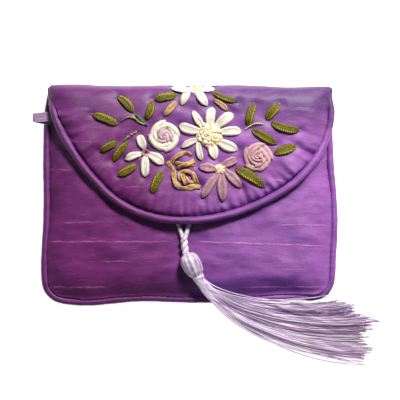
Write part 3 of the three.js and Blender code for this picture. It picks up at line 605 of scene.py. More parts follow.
def silk_panels(piping, stitch_spots):
    """The back panel with the flap, and the front panel."""
    seam = seam_lookup(piping)
    wrap = solid_copy("back_and_flap", "back_and_flap_silk")
    front = solid_copy("front_panel", "front_silk")
    for panel in (wrap, front):
        apply_modifier(panel, "SUBSURF", levels=3, render_levels=3)
    quilt(wrap, seam, 1, snug=0.6, spread=1.0 * MM, stitch_spots=stitch_spots,
          hem=0.75, rise=1.0 * MM, corner=1.9 * MM)
    quilt(front, seam, 2, snug=1.5, spread=1.35 * MM)
    for panel in (wrap, front):
        cloth_map(panel)
        smooth(panel)
    return wrap, front


def piping_cord():
    """The corded edge, whose silk wrinkles a little; it is slimmer where it turns over the fold."""
    piping = solid_copy("edge_piping", "silk_piping")
    apply_modifier(piping, "SUBSURF", levels=2, render_levels=2)
    normals = [vertex.normal.copy() for vertex in piping.data.vertices]
    for vertex, normal in zip(piping.data.vertices, normals):
        wrinkle = noise.noise(vertex.co * (1 / (2.4 * MM))) * 0.14
        at_fold = float(past(vertex.co.y, FOLD_STARTS, 8 * MM))
        at_side = float(past(abs(vertex.co.x), 56 * MM, 6 * MM))
        vertex.co += normal * ((0.12 - 0.25 * at_fold + wrinkle) * MM)
        vertex.co.x += math.copysign(0.7 * MM * at_side * (1 - at_fold), vertex.co.x)
    cloth_map(piping)
    smooth(piping)
    return piping


# Ribbon embroidery

def flap_spot(across, down):
    return across * HALF_WIDTH, FOLD_Y - down * FLAP_DROP


def leaf_width(u):
    return max(0.16, (1 - abs(2 * u - 1) ** 3.3) ** 0.64)


def petal_width(u):
    base = 0.34 + 0.66 * min(1.0, u / 0.45) ** 0.8
    end = max(0.0, 1 - max(0.0, (u - 0.62) / 0.38) ** 2.2) ** 0.6
    return max(0.10, base * end)


def ribbon(row, flap, width_at, high, dish, lift=0.0, tuck=0.0):
    """A ribbon stitch on the flap, with rolled edges. row holds its middle, turn, length and width."""
    across, down, turn, long, wide = row
    middle_x, middle_y = flap_spot(across, down)
    angle = math.radians(turn)
    length = long * RIBBON + tuck
    bend = rng.uniform(-0.07, 0.07) * length
    phase = rng.uniform(0, ANY_TURN)
    lean = rng.uniform(-0.2, 0.2)

    def place(u, v):
        side = 2 * v - 1
        along = (u - 0.5) * length - tuck / 2
        half = width_at(u) * wide * RIBBON / 2 * (1 + 0.05 * math.sin(9 * u + phase))
        out = side * half + bend * math.sin(math.pi * u)
        x = middle_x + along * math.cos(angle) - out * math.sin(angle)
        y = middle_y + along * math.sin(angle) + out * math.cos(angle)
        rise = math.sin(math.pi * min(1.0, max(0.0, 0.05 + 0.91 * u))) ** 0.5
        rim = 1 - abs(side) ** 6
        hollow = 1 - dish * (1 - side * side) ** 1.5 * math.sin(math.pi * u) ** 0.6
        pleat = 0.07 * MM * math.cos(math.pi * 3 * side + phase) * (1 - side * side) * rise
        arch = (high * rim * hollow * (1 + lean * side) + 0.35 * MM) * rise
        return Vector((x, y, flap(x, y) + 0.12 * MM + lift + arch + pleat))

    return strip(22, 13, place)


def curved(points, steps):
    """Points of a smooth curve through these, by Catmull-Rom."""
    ends = [points[0], *points, points[-1]]
    route = []
    for a, b, c, d in zip(ends, ends[1:], ends[2:], ends[3:]):
        for step in range(steps):
            t = step / steps
            route.append(tuple(
                0.5 * (2 * q + (r - p) * t + (2 * p - 5 * q + 4 * r - s) * t * t
                       + (3 * q - p - 3 * r + s) * t ** 3)
                for p, q, r, s in zip(a, b, c, d)))
    route.append(points[-1])
    return route


def strap(route, wide, twists, lift, flap):
    """A narrow ribbon laid along a curve on the flap, turning over itself on the way."""
    path = [flap_spot(*spot) for spot in curved(route, 8)]
    phase = rng.uniform(0, ANY_TURN)

    def place(u, v):
        at = u * (len(path) - 1)
        index = min(int(at), len(path) - 2)
        x, y = (a + (b - a) * (at - index) for a, b in zip(path[index], path[index + 1]))
        before, after = path[max(0, index - 1)], path[min(len(path) - 1, index + 2)]
        ahead = Vector((after[0] - before[0], after[1] - before[1])).normalized()
        side = (2 * v - 1) * wide * RIBBON / 2
        turn = 0.6 * math.sin(twists * math.pi * u + phase)
        out = side * math.cos(turn)
        round_back = 0.45 * MM * (1 - (2 * v - 1) ** 2)
        arch = math.sin(math.pi * min(1, max(0, u))) ** 0.5
        z = flap(x, y) + (0.25 + 0.75 * arch) * MM + lift * arch + side * math.sin(turn) + round_back
        return Vector((x - ahead.y * out, y + ahead.x * out, z))

    return strip(30, 7, place)


def thread_knot(size):
    """One turn of thread, modelled once; a French knot is a copy of it."""
    deselect()
    bpy.ops.mesh.primitive_torus_add(
        major_radius=size * 0.27, minor_radius=size * 0.26, major_segments=10, minor_segments=6)
    knot = bpy.context.object
    mesh = knot.data
    bpy.data.objects.remove(knot)
    return mesh


def knot_cluster(name, row, flap, size, high):
    """French knots packed over a dome."""
    across, down, radius = row
    middle_x, middle_y = flap_spot(across, down)
    middle_z = flap(middle_x, middle_y)
    reach = radius * RIBBON
    count = max(4, int(math.pi * (reach / size) ** 2 / 0.62))
    pattern = thread_knot(size)
    deselect()
    bpy.ops.mesh.primitive_uv_sphere_add(segments=20, ring_count=10, radius=1)
    under = bpy.context.object
    for vertex in under.data.vertices:
        x, y, z = vertex.co
        vertex.co = (middle_x + x * reach, middle_y + y * reach, middle_z + z * high * 1.02 + 0.1 * MM)
    pieces = [under]
    for index in range(count):
        share = min(1.0, max(0.02, math.sqrt((index + 0.5) / count) + rng.uniform(-0.07, 0.05)))
        angle = index * GOLDEN_ANGLE + rng.uniform(-0.3, 0.3)
        x = middle_x + share * reach * math.cos(angle)
        y = middle_y + share * reach * math.sin(angle)
        dome_z = high * math.sqrt(max(0.0, 1 - (share * 0.96) ** 2))
        z = max(middle_z + dome_z, flap(x, y) + 0.3 * size) + rng.uniform(-0.08, 0.12) * size
        lean = Euler((-share * math.sin(angle) * 0.9, share * math.cos(angle) * 0.9, angle))
        knot = linked("knot", pattern.copy())
        scale = rng.uniform(0.9, 1.15)
        set_down(knot.data, (x, y, z), lean, (scale, scale, scale * 1.15))
        pieces.append(knot)
    whole = joined(name, pieces)
    smooth(whole)
    return whole


def rose(row, flap, rings):
    """Ribbons folded over each other round a middle, each with its ends under the next."""
    across, down, radius = row
    middle_x, middle_y = flap_spot(across, down)
    folds = []
    for middle, half, count, foot, high, straight in rings:
        foot, high = foot * MM, high * MM
        first = rng.uniform(0, ANY_TURN)
        for index in range(count):
            start = first + 2 * math.pi * index / count + rng.uniform(-0.14, 0.14)
            span = 2 * math.pi / count * 1.42
            size = radius * RIBBON * rng.uniform(0.95, 1.05)
            top = rng.uniform(0.85, 1.2) * high
            one = Vector((math.cos(start), math.sin(start)))
            other = Vector((math.cos(start + span), math.sin(start + span)))

            def place(u, v):
                ends = math.sin(math.pi * (0.06 + 0.88 * min(1.0, max(0.0, u)))) ** 0.55
                side = 1 - 2 * v
                reach = size * (middle * (1 - 0.16 * (u - 0.5)) + side * half * (0.35 + 0.65 * ends))
                arc = Vector((math.cos(start + span * u), math.sin(start + span * u)))
                spot = (arc * (1 - straight) + (one + (other - one) * u) * (1.14 * straight)) * reach
                x, y = middle_x + spot.x, middle_y + spot.y
                bulge = top * ends * (1 - abs(side) ** 3) + 0.35 * MM * side * ends
                return Vector((x, y, flap(x, y) + foot + bulge + 0.9 * MM * (0.5 - u)))

            folds.append(strip(16, 9, place))
    return folds


def dome(row, flap, share, high):
    """A low dome under a rose, so that its middle is full. Its dark colour is painted shade for the gaps between
    the folds.
    """
    across, down, radius = row
    x, y = flap_spot(across, down)
    size = radius * RIBBON * share
    deselect()
    bpy.ops.mesh.primitive_uv_sphere_add(segments=24, ring_count=12, radius=size)
    under = bpy.context.object
    set_down(under.data, (x, y, flap(x, y)), scale=(1, 1, high / size))
    return under


# Each stitch: its middle across and down the flap, its turn in degrees, and its length and width
# in ribbon widths
LEAVES = {
    "leaf_1": (-0.615, 0.236, 158, 3.1, 1.0),
    "leaf_2": (-0.467, 0.115, 135, 2.6, 0.95),
    "leaf_3": (-0.296, 0.163, 74, 2.2, 0.95),
    "leaf_4": (-0.176, 0.060, -169, 2.5, 1.0),
    "leaf_5": (-0.590, 0.450, -152, 2.2, 0.85),
    "leaf_6": (-0.502, 0.487, -128, 2.9, 0.85),
    "leaf_7": (-0.454, 0.636, -152, 2.5, 1.0),
    "leaf_8": (-0.233, 0.730, -116, 2.8, 1.0),
    "leaf_9": (0.250, 0.054, -22, 3.1, 0.65),
    "leaf_10": (0.444, 0.198, 75, 2.6, 1.0),
    "leaf_11": (0.602, 0.175, 50, 2.3, 1.05),
    "leaf_12": (0.692, 0.292, -15, 3.4, 1.0),
    "leaf_13": (0.538, 0.376, -30, 3.2, 1.0),
    "leaf_14": (0.692, 0.476, 18, 2.7, 1.1),
    "leaf_15": (0.435, 0.694, -32, 3.9, 1.2),
}
GOLD_LEAVES = {
    "gold_leaf_1": (-0.143, 0.150, -132, 2.2, 0.75),
    "gold_leaf_2": (0.224, 0.122, -38, 2.1, 0.60),
}
PETALS = {
    "top_daisy": [
        (-0.030, 0.062, -119, 2.05, 0.90),
        (0.092, 0.062, -60, 2.20, 1.00),
        (-0.064, -0.006, 174, 2.30, 0.75),
        (0.130, 0.000, 6, 1.60, 0.70),
    ],
    "daisy": [
        (0.054, 0.228, 123, 2.1, 0.85),
        (0.155, 0.206, 85, 2.0, 1.15),
        (0.258, 0.236, 38, 2.2, 1.25),
        (0.304, 0.332, 3, 2.2, 1.12),
        (0.275, 0.440, -25, 2.5, 1.20),
        (0.178, 0.488, -84, 1.8, 1.10),
        (0.074, 0.492, -80, 2.0, 0.80),
        (-0.002, 0.428, -156, 2.1, 0.80),
        (-0.012, 0.303, 165, 2.2, 1.20),
    ],
    "four_petal_flower": [
        (-0.352, 0.412, 112, 1.7, 1.05),
        (-0.248, 0.546, -33, 2.2, 1.15),
        (-0.324, 0.603, -91, 2.5, 1.05),
        (-0.408, 0.529, -162, 2.1, 0.90),
    ],
    "pink_flower": [
        (0.122, 0.620, 172, 1.9, 1.05),
        (0.144, 0.765, -124, 3.1, 1.05),
        (0.236, 0.775, -88, 3.1, 1.10),
        (0.312, 0.706, -46, 2.7, 1.05),
        (0.294, 0.574, 26, 1.9, 1.05),
    ],
}
# Middle of each flower across and down the flap, its radius in ribbon widths, and the size of
# its knots and the height of their dome in mm
CENTRES = {
    "top_daisy": (0.049, -0.002, 0.62, 1.3, 1.4),
    "daisy": (0.145, 0.357, 1.42, 2.0, 2.4),
    "pink_flower": (0.216, 0.630, 0.62, 1.25, 1.9),
}
# Middle of each rose across and down the flap, and its radius in ribbon widths
RING_KNOT = (-0.321, 0.500, 0.56)
WHITE_ROSE = (-0.186, 0.368, 1.74)
PINK_ROSE = (0.492, 0.531, 1.66)
# Rings of folds, from the outside in: radius and half width as shares of the rose's radius,
# number of folds, their foot and height in mm, and how straight each lies
KNOT_RINGS = [(0.62, 0.34, 4, 0.9, 0.9, 0.35)]
WHITE_RINGS = [(0.80, 0.26, 4, 0.2, 1.5, 0.18), (0.64, 0.16, 4, 0.8, 1.0, 0.3)]
HEART_RINGS = [(0.44, 0.24, 3, 0.9, 1.2, 0.40), (0.23, 0.20, 3, 1.5, 0.9, 0.35),
               (0.07, 0.13, 2, 2.0, 0.7, 0.2)]
PINK_RINGS = [(0.82, 0.23, 5, 0.1, 1.2, 0.25), (0.59, 0.22, 4, 0.7, 1.1, 0.35),
              (0.36, 0.20, 3, 1.3, 1.0, 0.4), (0.13, 0.16, 2, 1.9, 0.8, 0.3)]
# The gold knot's ribbons: points across and down the flap, width in ribbon widths, turns over
# itself and lift in mm
GOLD_STRAPS = [
    ([(-0.163, 0.566), (-0.140, 0.609), (-0.119, 0.650), (-0.114, 0.695), (-0.102, 0.740), (-0.075, 0.773),
      (-0.028, 0.781), (0.025, 0.768), (0.077, 0.771)], 0.58, 4, 0.0),
    ([(-0.130, 0.584), (-0.121, 0.548), (-0.088, 0.521), (-0.047, 0.502), (-0.012, 0.502), (0.007, 0.523)],
     0.50, 2, 0.2),
    ([(-0.093, 0.624), (-0.051, 0.599), (-0.009, 0.581), (0.035, 0.559)], 0.54, 2, 0.6),
    ([(-0.107, 0.581), (-0.061, 0.584), (-0.014, 0.589), (0.032, 0.594)], 0.46, 1, 0.2),
    ([(0.056, 0.748), (0.044, 0.705), (0.028, 0.672), (-0.002, 0.650), (-0.040, 0.645), (-0.070, 0.662),
      (-0.075, 0.695), (-0.056, 0.720)], 0.43, 3, 0.5),
    ([(-0.047, 0.652), (-0.051, 0.687), (-0.037, 0.723), (-0.030, 0.755)], 0.52, 1, 0.8),
    ([(-0.033, 0.682), (-0.021, 0.713), (0.002, 0.728), (0.032, 0.725)], 0.38, 1, 0.9),
    ([(0.016, 0.670), (0.028, 0.702), (0.035, 0.740)], 0.36, 1, 0.8),
    ([(-0.014, 0.771), (0.032, 0.761), (0.077, 0.768)], 0.52, 1, 0.4),
    ([(-0.070, 0.670), (-0.056, 0.650), (-0.019, 0.642), (0.014, 0.655)], 0.42, 1, 0.9),
]
PETAL_TUCK = 1.8 * MM        # how far a petal's foot goes in under the knots
WALL = 0.16 * MM             # thickness of the ribbon


def stitch_places():
    """Where the needle pulled the flap down: both ends of each stitch."""
    rows = [*LEAVES.values(), *GOLD_LEAVES.values()]
    for petals in PETALS.values():
        rows.extend(petals)
    places = []
    for across, down, turn, long, _ in rows:
        x, y = flap_spot(across, down)
        reach = long * RIBBON / 2 + 0.4 * MM
        dx, dy = math.cos(math.radians(turn)) * reach, math.sin(math.radians(turn)) * reach
        places.append((x + dx, y + dy, 0.62 * MM))
        places.append((x - dx, y - dy, 0.45 * MM))
    for route, *_ in GOLD_STRAPS:
        for spot in (route[0], route[-1]):
            places.append((*flap_spot(*spot), 0.5 * MM))
    return places


def embroidery(flap, finishes):
    for name, row in LEAVES.items():
        leaf = sewn(name + "_ribbon", [ribbon(row, flap, leaf_width, 1.35 * MM, 0.22)], WALL)
        finish_piece(leaf, finishes["green"], "green_ribbon", name)
    for name, row in GOLD_LEAVES.items():
        leaf = sewn(name + "_ribbon", [ribbon(row, flap, leaf_width, 1.2 * MM, 0.3)], WALL)
        finish_piece(leaf, finishes["gold"], "gold_ribbon", name)
    for name, rows in PETALS.items():
        look = "pink" if name == "pink_flower" else "cream"
        tuck = 0.3 * MM if name == "four_petal_flower" else PETAL_TUCK
        petals = [ribbon(row, flap, petal_width, 1.5 * MM, 0.42, 0.12 * MM * (index % 3), tuck)
                  for index, row in enumerate(rows)]
        finish_piece(sewn(name + "_petals", petals, WALL), finishes[look], look + "_ribbon", name)
    for name, (across, down, radius, size, high) in CENTRES.items():
        knots = knot_cluster(name + "_knots", (across, down, radius), flap, size * MM, high * MM)
        finish_piece(knots, finishes["knot"], "cream_ribbon")
    ring = sewn("four_petal_flower_ring", rose(RING_KNOT, flap, KNOT_RINGS))
    finish_piece(ring, finishes["pink_knot"], "pink_ribbon")
    white = sewn("white_rose_ribbon", rose(WHITE_ROSE, flap, WHITE_RINGS), WALL)
    finish_piece(white, finishes["cream"], "cream_ribbon", "white_rose")
    heart = sewn("white_rose_heart", rose(WHITE_ROSE, flap, HEART_RINGS), WALL)
    finish_piece(heart, finishes["heart"], "pink_ribbon")
    pink = sewn("pink_rose_ribbon", rose(PINK_ROSE, flap, PINK_RINGS), WALL)
    finish_piece(pink, finishes["rose_pink"], "pink_ribbon", "pink_rose")
    shapes = ((WHITE_ROSE, 0.66, 1.5), (PINK_ROSE, 0.85, 1.1), (RING_KNOT, 0.7, 1.0))
    domes = [dome(row, flap, share, high * MM) for row, share, high in shapes]
    # The domes' dark silk is painted shade seen through the gaps between the folds
    finish_piece(sewn("rose_middles", domes), finishes["rose_painted_shade"], "pink_ribbon")
    straps = [strap(route, wide, twists, lift * MM, flap) for route, wide, twists, lift in GOLD_STRAPS]
    finish_piece(sewn("gold_knot_ribbon", straps, 0.22 * MM), finishes["gold"], "gold_ribbon", "gold_knot")


# Stems of floss: points across and down the flap, the thread's radius in mm and its colour
STEMS = {
    "stem_of_bud": ([(-0.306, 0.283), (-0.343, 0.249), (-0.392, 0.196)], 0.34, "green_floss"),
    "bud_strand_1": ([(-0.318, 0.275), (-0.362, 0.236), (-0.372, 0.186)], 0.26, "green_floss"),
    "bud_strand_2": ([(-0.322, 0.276), (-0.374, 0.252), (-0.418, 0.205)], 0.24, "pale_floss"),
    "left_tendril": ([(-0.352, 0.264), (-0.404, 0.228), (-0.452, 0.220), (-0.494, 0.246)], 0.30, "olive_floss"),
    "lower_stem": ([(-0.372, 0.315), (-0.426, 0.353), (-0.476, 0.402)], 0.32, "green_floss"),
    "right_tendril": ([(0.404, 0.312), (0.440, 0.285), (0.482, 0.268), (0.530, 0.272)], 0.30, "pale_floss"),
}
SEED_STITCHES = [(-0.398, 0.337), (-0.424, 0.352), (-0.446, 0.372)]


def thread_on(flap, route, radius):
    """Three strands twisted together along a route on the flap."""
    path = [flap_spot(*spot) for spot in curved(route, 7)]
    strands = []
    for strand in range(3):
        turned = []
        for index, (x, y) in enumerate(path):
            angle = index * 0.85 + strand * 2.09
            aside = radius * 0.85 * math.cos(angle)
            z = flap(x, y) + 0.35 * MM + radius * (1 + 0.85 * math.sin(angle))
            share = 0.55 + 0.45 * math.sin(math.pi * index / (len(path) - 1))
            turned.append(((x + aside, y + aside * 0.6, z), share))
        strands.append(turned)
    return strands


def stems(flap, finishes):
    for name, (route, radius, look) in STEMS.items():
        strands = thread_on(flap, route, radius * MM)
        finish_piece(tubes(name, strands, radius * MM, 1), finishes[look], "green_ribbon")
    seeds = []
    pattern = thread_knot(1.1 * MM)
    for across, down in SEED_STITCHES:
        x, y = flap_spot(across, down)
        seed = linked("seed", pattern.copy())
        lying = Euler((0, 0, math.radians(28)))
        set_down(seed.data, (x, y, flap(x, y) + 0.8 * MM), lying, (1.7, 0.8, 0.9))
        seeds.append(seed)
    whole = joined("seed_stitches", seeds)
    smooth(whole)
    finish_piece(whole, finishes["pale_floss"], "cream_ribbon")
    tips = []
    for across, down, turn, long, _ in LEAVES.values():
        x, y = flap_spot(across, down)
        angle = math.radians(turn)
        tip = []
        for share, lift in ((0.49, 0.3), (0.52, 0.3), (0.55, 0.0)):
            spot_x = x + share * long * RIBBON * math.cos(angle)
            spot_y = y + share * long * RIBBON * math.sin(angle)
            tip.append(((spot_x, spot_y, flap(spot_x, spot_y) + lift * MM), 1.0))
        tips.append(tip)
    stitches = tubes("leaf_tip_stitches", tips, 0.24 * MM, 1)
    finish_piece(stitches, finishes["satin"], "lilac_silk_thread")


# Tassel

# Lines of the skirt from its upper edge to its lower: turn in degrees, reach as a share of the
# skirt's length, and bow
SKIRT_LINES = [
    (-6, 0.82, 0.095), (-10.5, 0.92, 0.100), (-14, 0.99, 0.105), (-17.5, 1.01, 0.112),
    (-21, 1.01, 0.118), (-24.5, 1.00, 0.122), (-27, 0.97, 0.124), (-28.5, 0.88, 0.126),
]
SKIRT_LENGTH = 85 * MM
# The head's radius, as a share of its largest, at shares of the way down it
HEAD_FORM = [(0.0, 0.34), (0.07, 0.74), (0.22, 0.98), (0.5, 1.0), (0.72, 0.86), (0.88, 0.58), (1.0, 0.52)]
HEAD_LENGTH = 12.8 * MM
HEAD_RADIUS = 4.4 * MM
HEAD_TURN = math.radians(-62)
HEAD_ASIDE = Vector((-math.sin(HEAD_TURN), math.cos(HEAD_TURN), 0))
HEAD_RISE = 0.84             # the head lies a little flattened
WAIST = 0.97                 # share of the way down the head where the skirt starts
JOIN = Vector((-2.82 * MM, -18.4 * MM, 0))          # where the cord's plies meet
HEAD_START = Vector((-1.77 * MM, -26.7 * MM, 0))
NEARBY = ((0, 0), (2, 0), (-2, 0), (0, 2), (0, -2))  # in mm


def form_at(table, place):
    """A value read from a table of places and values, with a smooth step between its rows."""
    for (low, first), (high, second) in zip(table, table[1:]):
        if place <= high:
            share = (place - low) / (high - low)
            return first + (second - first) * share * share * (3 - 2 * share)
    return table[-1][1]


def head_spot(at):
    return HEAD_START + Vector((math.cos(HEAD_TURN), math.sin(HEAD_TURN), 0)) * (HEAD_LENGTH * at)


def head_height(bed, at):
    start, end = head_spot(0), head_spot(1)
    lying = bed(start.x, start.y) * (1 - at) + (bed(end.x, end.y) + 0.4 * MM) * at
    return lying + 0.4 * MM + HEAD_RISE * HEAD_RADIUS * (0.4 + 0.6 * form_at(HEAD_FORM, at))


def head_point(bed, at, angle, share):
    """A point round the head, at a share of the way down it and a share of its radius."""
    reach = form_at(HEAD_FORM, at) * HEAD_RADIUS * share
    centre = head_spot(at)
    centre.z = head_height(bed, at)
    spot = centre + HEAD_ASIDE * (reach * math.cos(angle))
    spot.z += reach * HEAD_RISE * math.sin(angle)
    return spot


def tassel_head(bed):
    """Threads laid side by side over a core, from the cord down to the waist."""
    threads, steps = 72, 14
    paths = []
    for thread in range(threads):
        path = []
        wander = rng.uniform(-0.05, 0.05)
        for step in range(steps + 1):
            at = step / steps
            angle = 2 * math.pi * thread / threads + 0.35 * at + wander * math.sin(3 * at)
            path.append((head_point(bed, at, angle, 0.95), 0.55 + 0.45 * form_at(HEAD_FORM, at)))
        paths.append(path)
    head = tubes("tassel_head", paths, 0.27 * MM, 1)
    core = strip(24, 12, lambda u, v: head_point(bed, min(1.0, max(0.0, v)), 2 * math.pi * u, 0.95))
    return sewn("tassel_head", [head, core])


def binding(bed):
    """A few turns of thread that tie the waist."""
    turns = 4
    steps = 20 * turns
    path = []
    for step in range(steps + 1):
        at = 0.92 + 0.07 * step / steps
        angle = 2 * math.pi * turns * step / steps
        path.append((head_point(bed, at, angle, 1.04), 1.0))
    return tubes("tassel_binding", [path], 0.26 * MM, 1)


def skirt_line(share):
    """Turn, reach and bow at a share of the way from the skirt's upper edge to its lower."""
    place = min(max(share, 0.0), 1.0) * (len(SKIRT_LINES) - 1)
    index = min(int(place), len(SKIRT_LINES) - 2)
    part = place - index
    return [first + (second - first) * part for first, second in zip(SKIRT_LINES[index], SKIRT_LINES[index + 1])]


def skirt_route(share, steps, stretch=1.0):
    turn, reach, bow = skirt_line(share)
    waist = head_spot(WAIST)
    length = reach * SKIRT_LENGTH * stretch
    line = Vector((math.cos(math.radians(turn)), math.sin(math.radians(turn)), 0)) * length
    below = Vector((line.y, -line.x, 0)) * bow
    corners = [waist, waist + line * 0.16 + below * 1.25, waist + line * 0.56 + below * 1.5, waist + line]
    route = []
    for step in range(steps + 1):
        at = step / steps
        weights = ((1 - at) ** 3, 3 * (1 - at) ** 2 * at, 3 * (1 - at) * at ** 2, at ** 3)
        spot = Vector((0, 0, 0))
        for weight, corner in zip(weights, corners):
            spot += corner * weight
        route.append(spot)
    return route


def skirt_beds(bed, lines, steps):
    """Height that the skirt lies on along some of its lines. It falls no steeper than slack threads,
    and near the waist no steeper than held ones."""
    slack_fall, held_fall, waist_drop = 0.13, 0.42, 2.2 * MM
    waist = head_height(bed, WAIST)
    beds = []
    for line in range(lines):
        route = skirt_route(line / (lines - 1), steps)
        under = [max(bed(spot.x + dx * MM, spot.y + dy * MM) for dx, dy in NEARBY) for spot in route]
        heights = []
        for spot in route:
            slack = max(height - slack_fall * (spot - other).length
                        for height, other in zip(under, route))
            held = waist - waist_drop - held_fall * (spot - route[0]).length
            heights.append(max(slack, held, 0.0))
        beds.append(heights)
    return beds


def tassel_skirt(bed):
    """Fine threads that cling together in clumps, cross a little and fray at their ends, and a few
    loose ones."""
    threads, steps, lines, clump_count = 900, 20, 24, 38
    beds = skirt_beds(bed, lines, steps)
    waist = head_height(bed, WAIST)
    clumps = []
    for index in range(clump_count):
        share = 0.13 + 0.78 * (index + rng.uniform(0.1, 0.9)) / clump_count
        clumps.append((share, rng.uniform(0.84, 1.03), rng.random(), rng.uniform(0, ANY_TURN),
                       rng.gauss(0, 1.5) * MM, rng.uniform(0.3, 0.9)))
    paths = []
    for _ in range(threads):
        share, stretch, layer, phase, sway, tight = clumps[rng.randrange(len(clumps))]
        loose = rng.random() < 0.05
        if loose:
            share, stretch, tight = rng.uniform(0.0, 0.92), rng.uniform(0.8, 1.06), 0.0
        route = skirt_route(share, steps, stretch * rng.uniform(0.94, 1.03))
        low = beds[min(lines - 1, int(share * lines))]
        depth = min(1.0, max(0.0, layer + rng.gauss(0, 0.2)))
        apart = rng.gauss(0, 1.15) * MM
        turned = rng.uniform(0, ANY_TURN)
        stray = max(-4.0, min(5.0, rng.gauss(0, 4.0))) * MM if loose else rng.gauss(0, 0.5) * MM
        path = []
        for step, spot in enumerate(route):
            at = step / steps
            spread = math.exp(-at * 8)
            thick = (3.2 * (1 - at) + 1.3) * MM * min(1.0, at * 5)
            heading = route[min(step + 1, steps)] - route[max(step - 1, 0)]
            heading.z = 0
            aside = Vector((-heading.y, heading.x, 0)).normalized()
            drift = (2.4 * MM * spread * math.cos(turned)
                     + apart * (0.3 + 0.9 * at * (1 - tight)) * (1 - spread)
                     + sway * math.sin(phase + 3.6 * at) * at + stray * at ** 3
                     + (1.6 if loose else 0.45) * MM * math.sin(turned + 7 * at) * at * at)
            over_waist = waist + 1.9 * MM * math.sin(turned)
            lying = low[step] + 0.25 * MM + depth * thick + 0.25 * MM * math.sin(turned + 9 * at) * depth
            place = spot + aside * drift
            place.z = max(lying * (1 - spread) + over_waist * spread, 0.25 * MM)
            path.append((place, 1.0 - 0.4 * at))
        paths.append(path)
    return tubes("tassel_skirt", paths, 0.235 * MM, 0)


def twisted_cord(bed):
    """Two plies that come from under the flap's tip, meet and twist about each other down to the head."""
    plies = []
    radius, half_twist, turns = 0.98 * MM, 0.82 * MM, 1.5
    for side in (-1, 1):
        path = []
        start = JOIN + Vector((side * 2.9 * MM, 6.9 * MM, 0))
        for step in range(9):
            share = step / 8
            spot = start.lerp(JOIN + Vector((side * 0.8 * MM, 0, 0)), share)
            spot.z = bed(spot.x, spot.y) + radius + (0.1 + 0.5 * share) * MM
            path.append((spot, 1.0))
        for step in range(1, 33):
            share = step / 32
            centre = JOIN.lerp(HEAD_START, share)
            centre.x = JOIN.x + (HEAD_START.x - JOIN.x) * share ** 2
            angle = 2 * math.pi * turns * share + (0 if side > 0 else math.pi)
            spot = centre + Vector((half_twist * math.cos(angle), 0, 0))
            lying = bed(centre.x, centre.y) + 2 * radius + 0.1 * MM
            spot.z = lying + half_twist * math.sin(angle) + 1.2 * MM * share
            path.append((spot, 1.0))
        plies.append(path)
    return tubes("twisted_cord", plies, radius, 3)


# Side loop

# Points along the loop in mm: across the purse, height, and shift up it from the loop's middle
LOOP_ROUTE = [
    (-57.5, 10.0, 0.8), (-60.0, 9.6, 0.7), (-62.6, 9.2, 0.5), (-64.6, 9.0, 0.3), (-67.0, 8.7, 0.1),
    (-70.0, 8.4, -0.1), (-71.9, 8.1, -0.2), (-72.6, 7.5, -0.3), (-71.9, 6.9, -0.4), (-70.0, 6.8, -0.6),
    (-67.0, 7.3, -1.1), (-64.0, 7.9, -1.9), (-61.0, 8.0, -2.6), (-58.0, 8.2, -2.9),
]
LOOP_Y = 36.4


def side_loop():
    """Satin ribbon folded on itself at its far end."""
    def place(u, v):
        at = u * (len(LOOP_ROUTE) - 1)
        index = min(int(at), len(LOOP_ROUTE) - 2)
        part = at - index
        x, z, shift = (a + (b - a) * part for a, b in zip(LOOP_ROUTE[index], LOOP_ROUTE[index + 1]))
        half = 2.1 + 0.12 * math.sin(9 * u)
        hollow = 0.22 * (2 * v - 1) ** 2
        return Vector((x, LOOP_Y + shift + (2 * v - 1) * half, z + hollow)) * MM

    loop = joined("satin_loop", [strip(44, 8, place)])
    apply_modifier(loop, "SUBSURF", levels=1, render_levels=1)
    apply_modifier(loop, "SOLIDIFY", thickness=0.55 * MM, offset=0.0)
    smooth(loop, 50)
    return loop


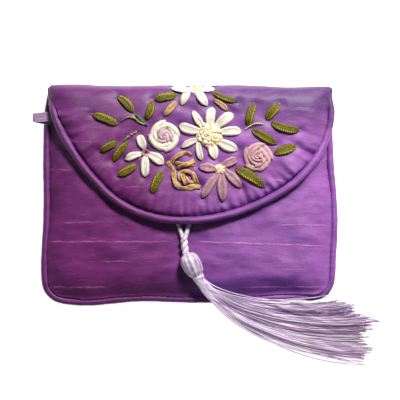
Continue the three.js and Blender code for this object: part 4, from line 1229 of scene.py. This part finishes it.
def all_finishes():
    fine = (900, 900, 900)
    return {
        "green": ribbon_finish("green_silk_ribbon", rgb(112, 100, 0), rgb(40, 33, 0),
                               rgb(50, 38, 4), rgb(220, 212, 62), 0.95),
        "gold": ribbon_finish("gold_silk_ribbon", rgb(240, 200, 138), rgb(128, 76, 40),
                              rgb(150, 92, 66), rgb(255, 240, 190), 0.6),
        "cream": ribbon_finish("cream_silk_ribbon", rgb(246, 238, 226), rgb(198, 194, 172),
                               rgb(210, 164, 170), rgb(255, 255, 248), 0.4),
        "pink": ribbon_finish("pink_silk_ribbon", rgb(204, 160, 170), rgb(140, 92, 108),
                              rgb(100, 54, 72), rgb(234, 204, 204), 0.5),
        "rose_pink": ribbon_finish("rose_silk_ribbon", rgb(230, 188, 194), rgb(184, 134, 142),
                                   rgb(144, 88, 98), rgb(250, 224, 226), 0.4),
        "heart": ribbon_finish("pale_rose_silk_ribbon", rgb(236, 208, 214), rgb(184, 144, 156),
                               rgb(138, 86, 98), rgb(250, 232, 232), 0.4),
        "rose_painted_shade": satin_thread("rose_painted_shade_silk", rgb(92, 44, 56), rgb(150, 92, 104), (700, 700, 700)),
        "knot": knot_finish("cream_floss", rgb(240, 226, 196), rgb(234, 208, 168), rgb(206, 208, 130)),
        "pink_knot": knot_finish("pink_floss", rgb(208, 164, 172), rgb(168, 112, 124), rgb(226, 196, 180)),
        "green_floss": satin_thread("green_floss", rgb(44, 60, 44), rgb(120, 138, 92), fine),
        "olive_floss": satin_thread("olive_floss", rgb(76, 76, 30), rgb(140, 138, 72), fine),
        "pale_floss": satin_thread("pale_floss", rgb(150, 150, 84), rgb(228, 226, 170), fine),
        "thread": satin_thread("lilac_thread", rgb(150, 124, 162), rgb(230, 217, 233), (500, 500, 500)),
        "skirt": satin_thread("lilac_skirt_thread", rgb(130, 88, 152), rgb(254, 243, 255), (34, 560, 120),
                              math.radians(20), rgb(132, 88, 136)),
        "satin": satin_thread("lilac_satin", rgb(98, 68, 106), rgb(184, 150, 186), (60, 900, 900)),
    }


def main():
    camera()
    surroundings()
    silk_look = silk("shot_silk", rgb(114, 40, 108), rgb(154, 95, 173), rgb(70, 34, 122),
                     rgb(206, 122, 190))
    piping_look = silk("piping_silk", rgb(114, 44, 116), rgb(142, 82, 164), rgb(62, 28, 100),
                       rgb(190, 110, 184), bump=0.35, gloss=0.52)
    finishes = all_finishes()
    piping = piping_cord()
    wrap, front = silk_panels(piping, stitch_places())
    finish_piece(piping, piping_look, "purple_piping", "edge_piping")
    finish_piece(wrap, silk_look, "purple_silk", "back_and_flap")
    finish_piece(front, silk_look, "purple_silk", "front_panel")
    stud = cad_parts["press_stud"]
    stud.data.materials.clear()
    stud.data.materials.append(steel_finish())
    flap = surface_of(wrap, round_the_fold=True)
    bed = surface_of(front, piping)
    embroidery(flap, finishes)
    stems(flap, finishes)
    finish_piece(twisted_cord(surface_of(front)), finishes["thread"], "lilac_silk_thread", "tassel_cord")
    finish_piece(tassel_head(bed), finishes["thread"], "lilac_silk_thread", "tassel")
    finish_piece(binding(bed), finishes["thread"], "lilac_silk_thread")
    finish_piece(tassel_skirt(bed), finishes["skirt"], "lilac_silk_thread", "tassel")
    finish_piece(side_loop(), finishes["satin"], "lilac_satin", "side_loop")


main()
